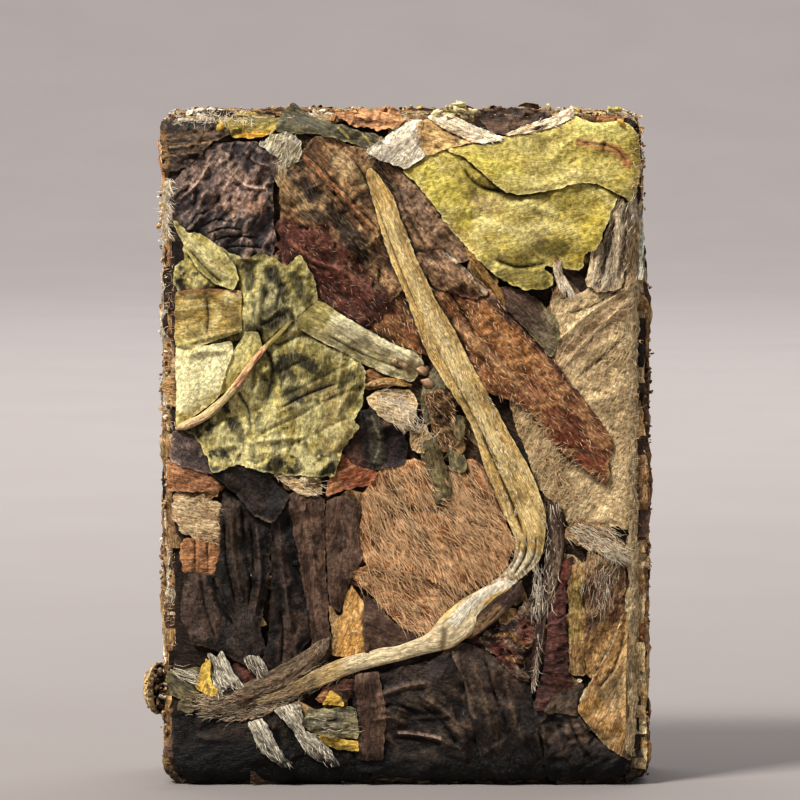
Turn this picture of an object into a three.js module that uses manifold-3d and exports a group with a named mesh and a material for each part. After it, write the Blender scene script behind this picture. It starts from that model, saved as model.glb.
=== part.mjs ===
// A mini brick of pressed white tea, standing on one short end with its best face towards -Y.
// Whole leaves, buds and stalks are pressed on to a denser core, so the brick is one solid.
// Millimetres, +Z up. The origin is under the middle of the brick, where it stands.

import * as THREE from "three";
import { mergeVertices } from "three/addons/utils/BufferGeometryUtils.js";
import Module from "manifold-3d";

// Driving dimensions of the pressed core
const WIDTH = 23.4;
const HEIGHT = 32.9;
const DEPTH = 7.5;
const SHOULDER = 1.3; // radius at which the pressed faces turn into the sides
const CORE_CELL = 1.9; // spacing of the core's vertices between its shoulders
const SIDE_RELIEF = 0.28; // crumble of the four sides
const FACE_RELIEF = 0.08; // unevenness of the pressed faces

// Face coordinates: x from the middle of the brick, z from a line just above its foot
const FOOT = 0.4;

// Leaves and stalks
const LEAF_ROOT = 1.5; // how far a leaf reaches into the core
const LEAF_WAVE = 0.14; // height of a leaf's waves
const WAVE_LENGTH = 2.6;
const FINE_LEAF = 3.2; // leaves wider than this are divided for their waves
const FACE_MARGIN = 0.35; // the mould keeps leaves this far inside the core's edge
const STALK_SIDES = 8;
const STALK_STEP = 1.7;
const STALK_FLATNESS = 0.75; // pressed thickness over width

// Flakes and crumbs that stand out of the sides
const FLAKE_SIDES = 6;
const FLAKES_LONG_SIDE = 30;
const FLAKES_TOP = 18;
const FLAKE_LENGTH = [1.3, 3.6];
const FLAKE_THICKNESS = [0.25, 0.5];
const FLAKE_STANDOUT = [0.1, 0.42];

const JOIN_TOLERANCE = 0.03; // slivers thinner than this close up where pieces meet

const DRY_LEAF = { color: 0x8a6a48, roughness: 0.85, metalness: 0 };

// Leaves of the front face: lift above the core and outline as x, z pairs, lowest first
const FRONT_LEAVES = [
  { lift: 0.12, outline: [-10.9, 3.2, -9.6, 3, -7.4, 2.8, -6.2, 1.6, -5.5, 0.5, -10.4, 0.3, -11.1, 2.2] },
  { lift: 0.18, outline: [-6.4, 3.2, -4.2, 2.6, -2.2, 2.4, -2, 0.4, -6, 0.4] },
  {
    // tan downy leaf along the right edge
    lift: 0.2,
    outline: [
      7.6, 23.3, 8.9, 24.1, 9.9, 24.4, 11, 25.5, 11.2, 20, 11.1, 12.5, 9.2, 12.3, 7.8, 13.8, 6.9, 14.1,
      6, 16, 5, 18.6, 6.8, 20.6,
    ],
  },
  { lift: 0.2, outline: [-11, 14, -9.3, 13.8, -8.4, 12.2, -9, 11.4, -10.8, 11.6] },
  { lift: 0.22, outline: [-11.2, 17.2, -10, 16.8, -9.2, 15, -8.4, 14.4, -9.4, 13.9, -11.2, 14.1] },
  { lift: 0.16, outline: [-10.7, 11.4, -9, 11.2, -9.3, 9.8, -10.6, 10] },
  {
    // dark wrinkled leaf of the upper left corner
    lift: 0.34,
    outline: [
      -10.9, 29.7, -9.7, 30.5, -8.9, 31.2, -7.3, 30.9, -6.1, 31, -6.4, 29, -6.3, 26, -7.2, 25, -9.3, 25.6,
      -11, 27, -11.3, 28.3,
    ],
  },
  {
    // long brown leaf that crosses the face to its red tip
    lift: 0.32,
    outline: [
      -5.7, 30, -4.6, 31.4, -3, 31.3, -0.6, 30.3, 0.6, 29.2, 2.6, 26.6, 4.6, 24, 6.9, 21.3, 8.5, 19.1,
      9.8, 17.6, 10.2, 16.3, 9.95, 14.5, 8.8, 15, 7.4, 16.4, 6.3, 18, 4.6, 19, 1, 20.2, -2.6, 21.4, -5.4, 24.4,
      -5.9, 27, -6.3, 29.1,
    ],
  },
  {
    // black folded leaf at the lower left
    lift: 0.3,
    outline: [
      -9.3, 15, -8.3, 15.4, -7, 15.4, -5.7, 14.2, -5.2, 11.5, -4.4, 7.7, -5.2, 5.7, -6, 5.1, -7, 6, -8.7, 6.4,
      -9.9, 6.3, -10.8, 8, -10.8, 9.8, -9.3, 10, -8, 11.5, -8.9, 13.6,
    ],
  },
  { lift: 0.42, outline: [-5.7, 12.9, -4.6, 14.2, -3.75, 13.3, -3.75, 9, -3.4, 6.2, -4, 6, -5.2, 11.5] },
  { lift: 0.3, outline: [-3.7, 13.3, -2.4, 13.7, -1.9, 11.2, -2.9, 8.6, -3.7, 8.8] },
  { lift: 0.24, outline: [-2.5, 9.4, -2, 8.7, -1.7, 6.4, -2.9, 6.2, -3.3, 7.6] },
  { lift: 0.18, outline: [-2, 8.7, -0.8, 8, 0.9, 7, 0.3, 6.5, -1.7, 6.2] },
  {
    // downy golden bud leaf in the middle
    lift: 0.4,
    outline: [
      -2.4, 13.6, -1.3, 15, 1, 15.4, 3.4, 15.5, 4.9, 12.8, 5.2, 11, 3.3, 9, 1.5, 7.2, 0.4, 7.3, -2.3, 9.8,
      -1.8, 11.5,
    ],
  },
  { lift: 0.25, outline: [-3.6, 15.9, -1.3, 14.9, -1.6, 14.3, -3.7, 14.2] },
  { lift: 0.2, outline: [-2.4, 18, -1, 17.4, 0.2, 16.4, 0, 15.3, -2.6, 15.2] },
  { lift: 0.34, outline: [-1.7, 18.8, 0.4, 19, 1.5, 17.2, 0.5, 16.2, -0.7, 17.3] },
  { lift: 0.36, outline: [1.2, 18.9, 2.3, 18.9, 3.2, 17.2, 2.4, 15.2, 1.5, 13.5, 1, 15.8] },
  {
    // dark leaf along the foot
    lift: 0.32,
    outline: [
      -2.3, 5, 0, 5.4, 3.3, 6.5, 5, 5.4, 6.3, 4.7, 6.9, 3.3, 8.7, 3, 9.9, 1.3, 10.6, 0.9, 8, 0.35, 2, 0.35,
      -2.1, 0.9,
    ],
  },
  { lift: 0.3, outline: [4, 7.2, 5.4, 8, 6.4, 9, 6.6, 6, 6.2, 4.8, 4.4, 6] },
  { lift: 0.46, outline: [8.3, 11.1, 8, 9, 8.2, 4.5, 6.6, 3.4, 6.9, 5, 7, 9] },
  { lift: 0.22, outline: [8, 10.4, 9, 10.5, 10.8, 10.6, 10.6, 7.4, 8.8, 5.2, 8.1, 5.4] },
  { lift: 0.3, outline: [8.1, 12.2, 9.6, 12.6, 11, 11.2, 10.6, 10.4, 8.5, 11.2] },
  {
    // amber leaf of the lower right corner
    lift: 0.36,
    outline: [11, 8.5, 10.3, 7, 8.9, 4.8, 8.6, 4, 8.7, 3.2, 9.9, 1.3, 11, 1, 11.2, 2.5],
  },
  { lift: 0.35, outline: [4.8, 24.2, 6.6, 23.9, 7.3, 22.3, 7, 21.3, 6.1, 22.2] },
  { lift: 0.4, outline: [10.1, 28.4, 10.9, 28.4, 10.6, 26.5, 10.3, 24.3, 9.2, 24.2, 9.6, 25.8] },
  {
    // pale green leaf with its tan patch
    lift: 0.48,
    outline: [
      -11.2, 27.3, -9.5, 26.2, -7.9, 25.5, -6.5, 25.75, -5.7, 25.1, -5, 25.6, -4.2, 24.2, -3.3, 21.3, -1.95, 19.9,
      -2.2, 17.5, -3.1, 16.2, -3.5, 14.9, -6.3, 14.9, -8.2, 15.4, -9.3, 15.1, -9.9, 16.6, -11.1, 17.3, -11, 21.5,
      -11.2, 24.6, -10.6, 26,
    ],
  },
  {
    // yellow-green leaf of the upper right corner, and the half of it that is folded over
    lift: 0.42,
    outline: [
      0.05, 29.8, 1.8, 27.7, 2.9, 26.2, 4, 25.1, 5.7, 24.1, 7.1, 24.05, 7.2, 24.8, 8.8, 25.2, 9.7, 26.2, 10.2, 28.1,
      11.2, 28.2, 11.2, 30, 3, 31,
    ],
  },
  {
    lift: 0.72,
    outline: [
      0.3, 29.9, 2.2, 30.95, 5.2, 31.5, 7.8, 32.2, 11.1, 32.1, 11.3, 30.5, 11.2, 28.2, 10.6, 28.6, 8.6, 29.15,
      5.6, 28.5, 4.4, 29, 2.8, 30.2,
    ],
  },
  { lift: 0.3, outline: [-11.3, 31.9, -9, 32.2, -8.2, 31.4, -9.6, 30.6, -11.3, 29.8] },
  { lift: 0.36, outline: [-9, 32.4, -6.7, 32.4, -5.9, 32.1, -7, 31.3, -9, 31.5] },
  { lift: 0.36, outline: [-6, 32.2, -4.2, 32.2, -0.8, 31.4, -1.8, 30.8, -3.5, 31.5, -5.6, 31.5] },
  { lift: 0.34, outline: [-1.8, 30.6, 0, 31.7, 1.2, 32.2, 2.6, 31.5, 3.2, 31.1, 1.2, 30.7, -0.2, 29.9] },
  { lift: 0.3, outline: [1.6, 32.2, 3.4, 32, 4.6, 31.4, 7.9, 32.3, 7.2, 32.5, 3, 32.5] },
  { lift: 0.3, outline: [-9.6, 6.1, -8.6, 6.3, -7.9, 4.5, -9, 4.2] },
  { lift: 0.34, outline: [-7.9, 6, -7.2, 6.1, -6.6, 4.9, -7.3, 4.9] },
  { lift: 0.4, outline: [-7.6, 2.7, -6.9, 3, -5.6, 0.6, -6.4, 0.6] },
  { lift: 0.44, outline: [-6.4, 3.4, -5.4, 3.4, -3.3, 0.8, -4.2, 0.7] },
  { lift: 0.3, outline: [-4.9, 3, -4.2, 4.2, -2.6, 3.9, -2.2, 1.4, -4, 1.8] },
];

// Stalks of the front face: points x, z and width along the middle, with the lift of that middle
const FRONT_STALKS = [
  {
    // straw-coloured stem from the top, with its bend and the tail that runs to the left
    lift: 0.42,
    run: [
      -1.1, 29.2, 1.1, -0.7, 27.5, 1.15, 0.2, 25, 1.3, 1.2, 22.5, 1.4, 2.5, 20.2, 1.5, 3.9, 17.9, 1.7, 5.1, 15.7, 1.9,
      5.8, 14, 1.95, 6.1, 12.5, 1.8, 6.1, 11.3, 1.6, 5.8, 10.3, 1.5, 4.2, 8.7, 1.6, 3, 7.7, 1.6, 1.8, 6.6, 1.3,
      0, 6.2, 0.8, -2, 5.6, 0.75, -4, 4.9, 0.75, -6, 4.2, 0.85, -8, 3.6, 1, -10.4, 3.6, 1.1,
    ],
  },
  {
    // stalk of the green leaf, ending in a small bud
    lift: 0.44,
    run: [-5.6, 22.5, 0.8, -4.4, 22.6, 1.4, -3.2, 22.1, 1.5, -1.5, 21.1, 1.4, 0.1, 20.4, 1.3, 1, 19.9, 1.2],
  },
  { lift: 0.5, run: [-5.5, 22.5, 0.6, -6.9, 21.1, 0.6, -8.3, 19.2, 0.6, -9.6, 18, 0.6, -10.8, 17.3, 0.5] },
  { lift: 0.3, run: [-3.9, 6.6, 0.5, -5, 5.6, 0.7, -6.5, 4.6, 0.8, -8, 4, 0.7] },
  { lift: 0.3, run: [7.5, 13.6, 0.7, 7.5, 11.6, 0.9, 7.2, 9.6, 0.7, 6.7, 7, 0.6, 6.5, 4.6, 0.5] },
];

// Leaves of the back face: middle x, z as seen from behind, length, width, turn in degrees and lift
const BACK_LEAVES = [
  [-4.6, 24.4, 16, 9, 112, 0.22],
  [6, 25, 14, 8.6, 62, 0.28],
  [-6.6, 9.6, 15, 8.6, 82, 0.28],
  [5.4, 9.2, 15.4, 9.4, 104, 0.22],
  [0.4, 17.4, 18, 6.4, 36, 0.44],
  [-8.7, 18.6, 9, 4.2, 78, 0.4],
  [8.7, 16.6, 8.4, 4, 96, 0.38],
  [-2, 29.4, 9.5, 4.2, 8, 0.42],
  [0.8, 3.6, 11, 4.4, -8, 0.4],
  [-8, 3.4, 7, 4, 24, 0.36],
  [8.2, 29.4, 6.4, 3.8, 138, 0.46],
  [-0.6, 10.4, 8, 3.2, 62, 0.5],
];
const BACK_STALKS = [
  {
    lift: 0.42,
    run: [-9, 27.4, 0.9, -5.2, 24.6, 1.1, -1.6, 20.6, 1.3, 2.2, 15, 1.5, 4.8, 9.6, 1.6, 6, 4, 1.4],
  },
  { lift: 0.36, run: [9.4, 25.6, 0.7, 6.8, 22.8, 0.9, 4.6, 20.4, 0.9, 3.4, 18.2, 0.8] },
];
// Half width of a tea leaf, as a share of its widest, at even steps from stalk to tip
const LEAF_PROFILE = [0.24, 0.78, 1, 0.92, 0.66, 0.22];

// Lumps that stand on the top: x, y, height of the middle in face coordinates, and size
const TOP_LUMPS = [
  [2.6, -3.2, 32.4, 0.95],
  [-1, -2.4, 32.4, 0.75],
  [-2.6, -1.6, 32.4, 0.7],
  [-4.2, -2.6, 32.3, 0.7],
  [-7.6, -2.2, 32.4, 0.8],
  [5.4, -2.4, 32.3, 0.8],
  [9.6, -2, 32.4, 0.75],
  [7.2, 1.4, 32.3, 0.8],
  [0.6, 1.8, 32.3, 0.8],
  [-6.2, 2, 32.3, 0.75],
];
// The curled flake at the lower left and smaller ones on the right: x, y, z, length, width
const SIDE_LEAVES = [
  [-11.9, -2.2, 4.7, 2.6, 1.9],
  [-11.7, -2, 25.7, 1.8, 1.4],
  [11.8, -1.6, 18.6, 3, 1.2],
  [11.9, -1.8, 13.1, 0.9, 1],
];
const SIDE_LEAF_THICKNESS = 0.4;

const wasm = await Module();
wasm.setup();

// Random numbers that come out alike each time
function seededRandom(seed) {
  let state = seed;
  return () => {
    state = (state * 1664525 + 1013904223) % 4294967296;
    return state / 4294967296;
  };
}

function between([low, high], share) {
  return low + (high - low) * share;
}

// Smooth uneven ripple between -1 and 1, from three crossing waves
function ripple(x, y, z) {
  const first = Math.sin(1.9 * x + 0.7 * z + 1.3 * Math.sin(1.1 * y + 0.6 * z));
  const second = Math.sin(1.3 * z - 1.1 * y + 1.7 * Math.sin(0.8 * x - 0.5 * y));
  const third = Math.sin(2.3 * y + 0.9 * x - 1.2 * z);
  return (first + second + third) / 3;
}

// How far the shoulder falls away from the pressed face at a point of the face
function shoulderDrop(x, height) {
  const flatX = WIDTH / 2 - SHOULDER;
  const flatZ = HEIGHT / 2 - SHOULDER;
  const overX = Math.max(0, Math.abs(x) - flatX);
  const overZ = Math.max(0, Math.abs(height - HEIGHT / 2) - flatZ);
  const over = Math.min(0.95 * SHOULDER, Math.hypot(overX, overZ));
  return SHOULDER - Math.sqrt(SHOULDER * SHOULDER - over * over);
}

// A point of a face outline, kept inside the mould
function insideMould(x, z) {
  const sideways = WIDTH / 2 - FACE_MARGIN;
  const height = THREE.MathUtils.clamp(z + FOOT, FACE_MARGIN, HEIGHT - FACE_MARGIN);
  return new THREE.Vector2(THREE.MathUtils.clamp(x, -sideways, sideways), height);
}

function toSolid(geometry) {
  geometry.deleteAttribute("normal");
  geometry.deleteAttribute("uv");
  const merged = mergeVertices(geometry);
  const vertProperties = new Float32Array(merged.attributes.position.array);
  const triVerts = new Uint32Array(merged.index.array);
  return new wasm.Manifold(new wasm.Mesh({ numProp: 3, vertProperties, triVerts }));
}

function geometryFrom(points, triangles) {
  const geometry = new THREE.BufferGeometry();
  geometry.setAttribute("position", new THREE.Float32BufferAttribute(points.flatMap((p) => p.toArray()), 3));
  geometry.setIndex(triangles.flat());
  return geometry;
}

// The pressed core: a box with rounded edges, crumbled sides and a flat foot
function coreSolid() {
  const half = new THREE.Vector3(WIDTH / 2, DEPTH / 2, HEIGHT / 2);
  const cells = half.clone().multiplyScalar(2 / CORE_CELL).round();
  const geometry = new THREE.BoxGeometry(WIDTH, DEPTH, HEIGHT, cells.x, cells.y, cells.z);
  const inner = half.clone().subScalar(SHOULDER);
  const position = geometry.attributes.position;
  const point = new THREE.Vector3();
  for (let i = 0; i < position.count; i += 1) {
    point.fromBufferAttribute(position, i);
    const nearest = point.clone().clamp(inner.clone().negate(), inner);
    const outward = point.clone().sub(nearest).normalize();
    const sideways = 1 - outward.y * outward.y;
    const relief = THREE.MathUtils.lerp(FACE_RELIEF, SIDE_RELIEF, sideways);
    const foot = outward.z < -0.99 ? 0 : 1;
    const push = SHOULDER + foot * relief * ripple(point.x, 1.6 * point.y, point.z);
    point.copy(nearest).addScaledVector(outward, push);
    point.z = Math.max(point.z + half.z, 0);
    position.setXYZ(i, point.x, point.y, point.z);
  }
  return toSolid(geometry);
}

// Splits each triangle into four, so that a leaf has points to wave with
function divide(points, triangles) {
  const middles = new Map();
  const middle = (a, b) => {
    const key = a < b ? `${a} ${b}` : `${b} ${a}`;
    if (!middles.has(key)) {
      middles.set(key, points.length);
      points.push(points[a].clone().add(points[b]).multiplyScalar(0.5));
    }
    return middles.get(key);
  };
  return triangles.flatMap(([a, b, c]) => {
    const [ab, bc, ca] = [middle(a, b), middle(b, c), middle(c, a)];
    return [
      [a, ab, ca],
      [ab, b, bc],
      [ca, bc, c],
      [ab, bc, ca],
    ];
  });
}

// Edges that only one triangle has, in the direction of that triangle
function rimOf(triangles) {
  const rim = new Map();
  for (const triangle of triangles) {
    triangle.forEach((a, i) => {
      const b = triangle[(i + 1) % 3];
      if (!rim.delete(`${b} ${a}`)) {
        rim.set(`${a} ${b}`, [a, b]);
      }
    });
  }
  return [...rim.values()];
}

// A leaf pressed on the front face: a thin wavy solid with both faces split alike
function leafSolid(outline, lift) {
  const contour = THREE.ShapeUtils.isClockWise(outline) ? [...outline].reverse() : outline;
  const points = contour.map((p) => p.clone());
  const size = new THREE.Box2().setFromPoints(points).getSize(new THREE.Vector2());
  let triangles = THREE.ShapeUtils.triangulateShape(contour, []);
  if (Math.min(size.x, size.y) > FINE_LEAF) {
    triangles = divide(points, triangles);
  }
  const count = points.length;
  const outer = points.map((p) => {
    const wave = LEAF_WAVE * ripple(p.x * (2 / WAVE_LENGTH), 3 * lift, p.y * (2 / WAVE_LENGTH));
    return new THREE.Vector3(p.x, -(DEPTH / 2 + lift + wave - shoulderDrop(p.x, p.y)), p.y);
  });
  const under = outer.map((p) => new THREE.Vector3(p.x, p.y + lift + LEAF_ROOT, p.z));
  const faces = [];
  for (const [a, b, c] of triangles) {
    faces.push([a, b, c], [count + a, count + c, count + b]);
  }
  for (const [a, b] of rimOf(triangles)) {
    faces.push([a, count + a, count + b], [a, count + b, b]);
  }
  return toSolid(geometryFrom([...outer, ...under], faces));
}

// A stalk pressed on the front face: flattened rings along a smooth curve, closed at both ends
function stalkSolid(run, lift) {
  const stations = [];
  for (let i = 0; i < run.length; i += 3) {
    const p = insideMould(run[i], run[i + 1]);
    stations.push(new THREE.Vector3(p.x, run[i + 2], p.y));
  }
  const curve = new THREE.CatmullRomCurve3(stations);
  const steps = Math.ceil(curve.getLength() / STALK_STEP);
  const points = [];
  const faces = [];
  for (let i = 0; i <= steps; i += 1) {
    const at = curve.getPoint(i / steps);
    const along = curve.getTangent(i / steps).setY(0).normalize();
    const across = new THREE.Vector3(along.z, 0, -along.x);
    const radius = at.y / 2;
    const level = -(DEPTH / 2 + lift - shoulderDrop(at.x, at.z));
    for (let k = 0; k < STALK_SIDES; k += 1) {
      const angle = (2 * Math.PI * (k + 0.5)) / STALK_SIDES;
      const point = new THREE.Vector3(at.x, level, at.z).addScaledVector(across, radius * Math.cos(angle));
      point.y -= radius * STALK_FLATNESS * Math.sin(angle);
      points.push(point);
    }
  }
  for (let i = 0; i < steps; i += 1) {
    for (let k = 0; k < STALK_SIDES; k += 1) {
      const a = i * STALK_SIDES + k;
      const b = i * STALK_SIDES + ((k + 1) % STALK_SIDES);
      faces.push([a, a + STALK_SIDES, b], [b, a + STALK_SIDES, b + STALK_SIDES]);
    }
  }
  const last = steps * STALK_SIDES;
  for (let k = 1; k < STALK_SIDES - 1; k += 1) {
    faces.push([0, k, k + 1], [last, last + k + 1, last + k]);
  }
  return outwardSolid(points, faces);
}

// A closed body with its faces turned outward
function outwardSolid(points, faces) {
  let volume = 0;
  for (const [a, b, c] of faces) {
    volume += points[a].dot(points[b].clone().cross(points[c]));
  }
  return toSolid(geometryFrom(points, volume < 0 ? faces.map(([a, b, c]) => [a, c, b]) : faces));
}

function pairs(numbers) {
  const outline = [];
  for (let i = 0; i < numbers.length; i += 2) {
    outline.push(insideMould(numbers[i], numbers[i + 1]));
  }
  return outline;
}

// Outline of a whole tea leaf from its middle, size and turn
function teaLeafOutline(x, z, length, width, turn) {
  const along = new THREE.Vector2(1, 0).rotateAround(new THREE.Vector2(), THREE.MathUtils.degToRad(turn));
  const across = new THREE.Vector2(-along.y, along.x);
  const last = LEAF_PROFILE.length - 1;
  const edge = (side) =>
    LEAF_PROFILE.map((share, i) => {
      const reach = length * (i / last - 0.5);
      const out = side * share * (width / 2);
      return insideMould(x + reach * along.x + out * across.x, z + reach * along.y + out * across.y);
    });
  return [...edge(-1), ...edge(1).reverse()];
}

// A thin plate of few sides that lies in the plane of the pressed faces
function flakeSolid(length, thickness, reach, place, tilt) {
  const geometry = new THREE.CylinderGeometry(0.5, 0.5, thickness, FLAKE_SIDES);
  geometry.scale(reach, 1, length);
  geometry.rotateX(tilt);
  geometry.translate(place.x, place.y, place.z);
  return toSolid(geometry);
}

function sideFlakes() {
  const random = seededRandom(41);
  const flakes = [];
  const draw = (range) => between(range, random());
  const layer = () => draw([-0.5, 0.5]) * (DEPTH - 2 * SHOULDER);
  for (const side of [-1, 1]) {
    for (let i = 0; i < FLAKES_LONG_SIDE; i += 1) {
      const reach = draw([1.6, 2.4]);
      const x = side * (WIDTH / 2 + draw(FLAKE_STANDOUT) - reach / 2);
      const z = 2.6 + ((HEIGHT - 5.2) * (i + random())) / FLAKES_LONG_SIDE;
      const place = new THREE.Vector3(x, layer(), z);
      flakes.push(flakeSolid(draw(FLAKE_LENGTH), draw(FLAKE_THICKNESS), reach, place, draw([-0.12, 0.12])));
    }
  }
  for (let i = 0; i < FLAKES_TOP; i += 1) {
    const reach = draw([1.6, 2.4]);
    const x = (WIDTH - 4.4) * ((i + random()) / FLAKES_TOP - 0.5);
    const place = new THREE.Vector3(x, layer(), HEIGHT + draw(FLAKE_STANDOUT) - reach / 2);
    flakes.push(flakeSolid(reach, draw(FLAKE_THICKNESS), draw(FLAKE_LENGTH), place, draw([-0.12, 0.12])));
  }
  return flakes;
}

function topLumps() {
  return TOP_LUMPS.map(([x, y, z, size], i) => {
    const geometry = new THREE.IcosahedronGeometry(size / 2, 0);
    geometry.scale(1.5, 1.2, 1);
    geometry.rotateY(0.7 * i);
    geometry.translate(x, y, z + FOOT);
    return toSolid(geometry);
  });
}

function sideLeaves() {
  return SIDE_LEAVES.map(([x, y, z, length, width], i) =>
    flakeSolid(length, SIDE_LEAF_THICKNESS, width, new THREE.Vector3(x, y, z + FOOT), 0.15 - 0.1 * i),
  );
}

function frontPieces() {
  return [
    ...FRONT_LEAVES.map(({ lift, outline }) => leafSolid(pairs(outline), lift)),
    ...FRONT_STALKS.map(({ lift, run }) => stalkSolid(run, lift)),
  ];
}

// The back is made like the front and then turned half round
function backPieces() {
  const leaves = BACK_LEAVES.map(([x, z, length, width, turn, lift]) =>
    leafSolid(teaLeafOutline(x, z, length, width, turn), lift),
  );
  const stalks = BACK_STALKS.map(({ lift, run }) => stalkSolid(run, lift));
  return [...leaves, ...stalks].map((piece) => piece.rotate([0, 0, 180]));
}

function brickGeometry() {
  const pieces = [...frontPieces(), ...backPieces(), ...sideFlakes(), ...topLumps(), ...sideLeaves()];
  const joined = pieces.reduce((whole, piece) => whole.add(piece), coreSolid());
  // Pockets that close up between the leaves are filled by keeping the outer body alone
  const bodies = joined.simplify(JOIN_TOLERANCE).decompose();
  const outer = bodies.reduce((best, body) => (body.volume() > best.volume() ? body : best));
  const { numProp, vertProperties, triVerts } = outer.getMesh();
  const geometry = new THREE.BufferGeometry();
  const buffer = new THREE.InterleavedBuffer(vertProperties, numProp);
  geometry.setAttribute("position", new THREE.InterleavedBufferAttribute(buffer, 3, 0));
  geometry.setIndex(new THREE.BufferAttribute(triVerts, 1));
  return geometry;
}

const teaBrick = new THREE.Mesh(brickGeometry(), new THREE.MeshStandardMaterial(DRY_LEAF));
teaBrick.name = "tea_brick";
teaBrick.geometry.computeBoundingBox();
const { min, max } = teaBrick.geometry.boundingBox;
teaBrick.position.set(-(min.x + max.x) / 2, -(min.y + max.y) / 2, -min.z);

const brick = new THREE.Group();
brick.add(teaBrick);

export default brick;
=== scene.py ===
"""Mini brick of pressed white tea: whole leaves, downy buds and stalks pressed flat on a crumbly core."""

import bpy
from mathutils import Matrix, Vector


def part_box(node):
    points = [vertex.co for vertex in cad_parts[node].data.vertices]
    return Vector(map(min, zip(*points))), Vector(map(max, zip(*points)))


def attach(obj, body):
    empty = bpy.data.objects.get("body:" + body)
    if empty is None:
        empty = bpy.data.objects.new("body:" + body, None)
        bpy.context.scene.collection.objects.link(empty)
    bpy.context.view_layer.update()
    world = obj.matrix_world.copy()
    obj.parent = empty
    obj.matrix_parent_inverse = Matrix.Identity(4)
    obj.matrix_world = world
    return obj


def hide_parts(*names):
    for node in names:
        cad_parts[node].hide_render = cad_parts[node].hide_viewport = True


bl_info = {
    "name": "Pressed White Tea Brick",
    "version": (1, 0, 0),
    "blender": (4, 5, 0),
    "location": "View3D > Sidebar > Tea Brick",
    "description": "Builds a mini brick of pressed white tea over its packed solid",
    "category": "Add Mesh",
}

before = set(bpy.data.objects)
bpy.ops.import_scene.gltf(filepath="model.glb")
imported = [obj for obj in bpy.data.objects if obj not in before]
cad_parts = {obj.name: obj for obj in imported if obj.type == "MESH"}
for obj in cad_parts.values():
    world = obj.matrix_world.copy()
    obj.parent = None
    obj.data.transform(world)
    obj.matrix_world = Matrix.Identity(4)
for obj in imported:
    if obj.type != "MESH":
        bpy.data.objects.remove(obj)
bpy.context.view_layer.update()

import math
from dataclasses import dataclass
from functools import cache

import bmesh
import bpy
import numpy as np
from mathutils import Vector
from mathutils.geometry import delaunay_2d_cdt

MM = 0.001
BRICK_LOW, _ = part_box("tea_brick")

# Face coordinates: x from the brick's middle line and z from a line just above its foot, in millimetres
FOOT_MM = 0.4
LEFT_REACH_MM = 12.72  # the curled flake at the lower left is the brick's furthest point that way
FRONT_REACH_MM = 4.85  # the main stalk's front
SHIFT_X = BRICK_LOW.x / MM + LEFT_REACH_MM
SHIFT_Y = BRICK_LOW.y / MM + FRONT_REACH_MM

CELL_MM = 0.055  # of the height map of a broad face
FINE_MM = 0.08  # spacing of a front leaf's vertices
COARSE_MM = 0.24  # spacing on the back, and on small chips
PRESSED_FREE_MM = 0.5  # leaves stack freely up to this, and are squeezed above it
PRESSED_MOST_MM = 0.55  # the most that squeezing leaves above that
WAVE_GAIN = 2.0  # waves and wrinkles reach their named height only at their extremes
OCTAVES = 3  # of noise, each half as large and half as strong as the one before
TEAR_SIZES_MM = 0.12, 0.25, 0.5, 1  # of the bites in a torn edge
EVEN_ROWS = 0.87  # gap between rows of even triangles, as a share of their sides
CLEAR_SHARE = 0.6  # inner points keep this share of the spacing clear of edges and creases
SMOOTH_DEG = 50  # edges sharper than this show on leaves
BROKEN_DEG = 20  # crumbs keep every edge between their faces sharp
LOWEST_MM = 0.02  # nothing goes below this height

SIDE_LAP_MM = 1  # a face's map goes this far past the core to the left and right
LAP_MM = 0.8  # and this far below and above, as does the map of one leaf past its outline
SAG_MM = 0.3  # a leaf or stalk smooths what it lies on over this distance
CREASE_STEP_MM = 0.3
STROKE_STEP_MM = 0.4
VEIN_GAP_MM = 1.5  # between the side veins of a leaf
STALK_SIDES = 36
STALK_STEP_MM = 0.14
FACE_CHIPS = 190  # under the leaves of one broad face
LAYER_ENDS = 3000  # round the sides
LAYER_STEP_MM = 0.2
LAYER_DEPTH_MM = 0.9  # how far a layer's end goes into the core
SIDE_CRUMBS = 4200
FLAKES_FOR_MM = 14  # of a heap's length on the top
CORE_STEP_MM = 0.45

BODY = "root"


def linear(hex_colour):
    """Linear red, green and blue of an sRGB hex colour."""
    parts = [int(hex_colour[i : i + 2], 16) / 255 for i in (1, 3, 5)]
    return tuple(c / 12.92 if c <= 0.04045 else ((c + 0.055) / 1.055) ** 2.4 for c in parts)


@dataclass(frozen=True)
class Finish:
    """How one kind of dry tea looks: its colours, and how its surface takes the light."""

    material: str
    base: str
    dark: str
    light: str
    roughness: float = 0.62
    fibre: float = 0.2  # share of colour change along the grain
    net: float = 0.0  # strength of the fine net of veins
    fleck: float = 0.0  # share of the surface under pale down
    fleck_colour: str = "#D9C7A2"
    sheen: float = 0.0
    bump_mm: float = 0.06
    grit: float = 0.45  # share of colour change in the fine crumbled surface
    gloss: float = 0.2  # level of mirror reflection, low because the surface is broken up


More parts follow.
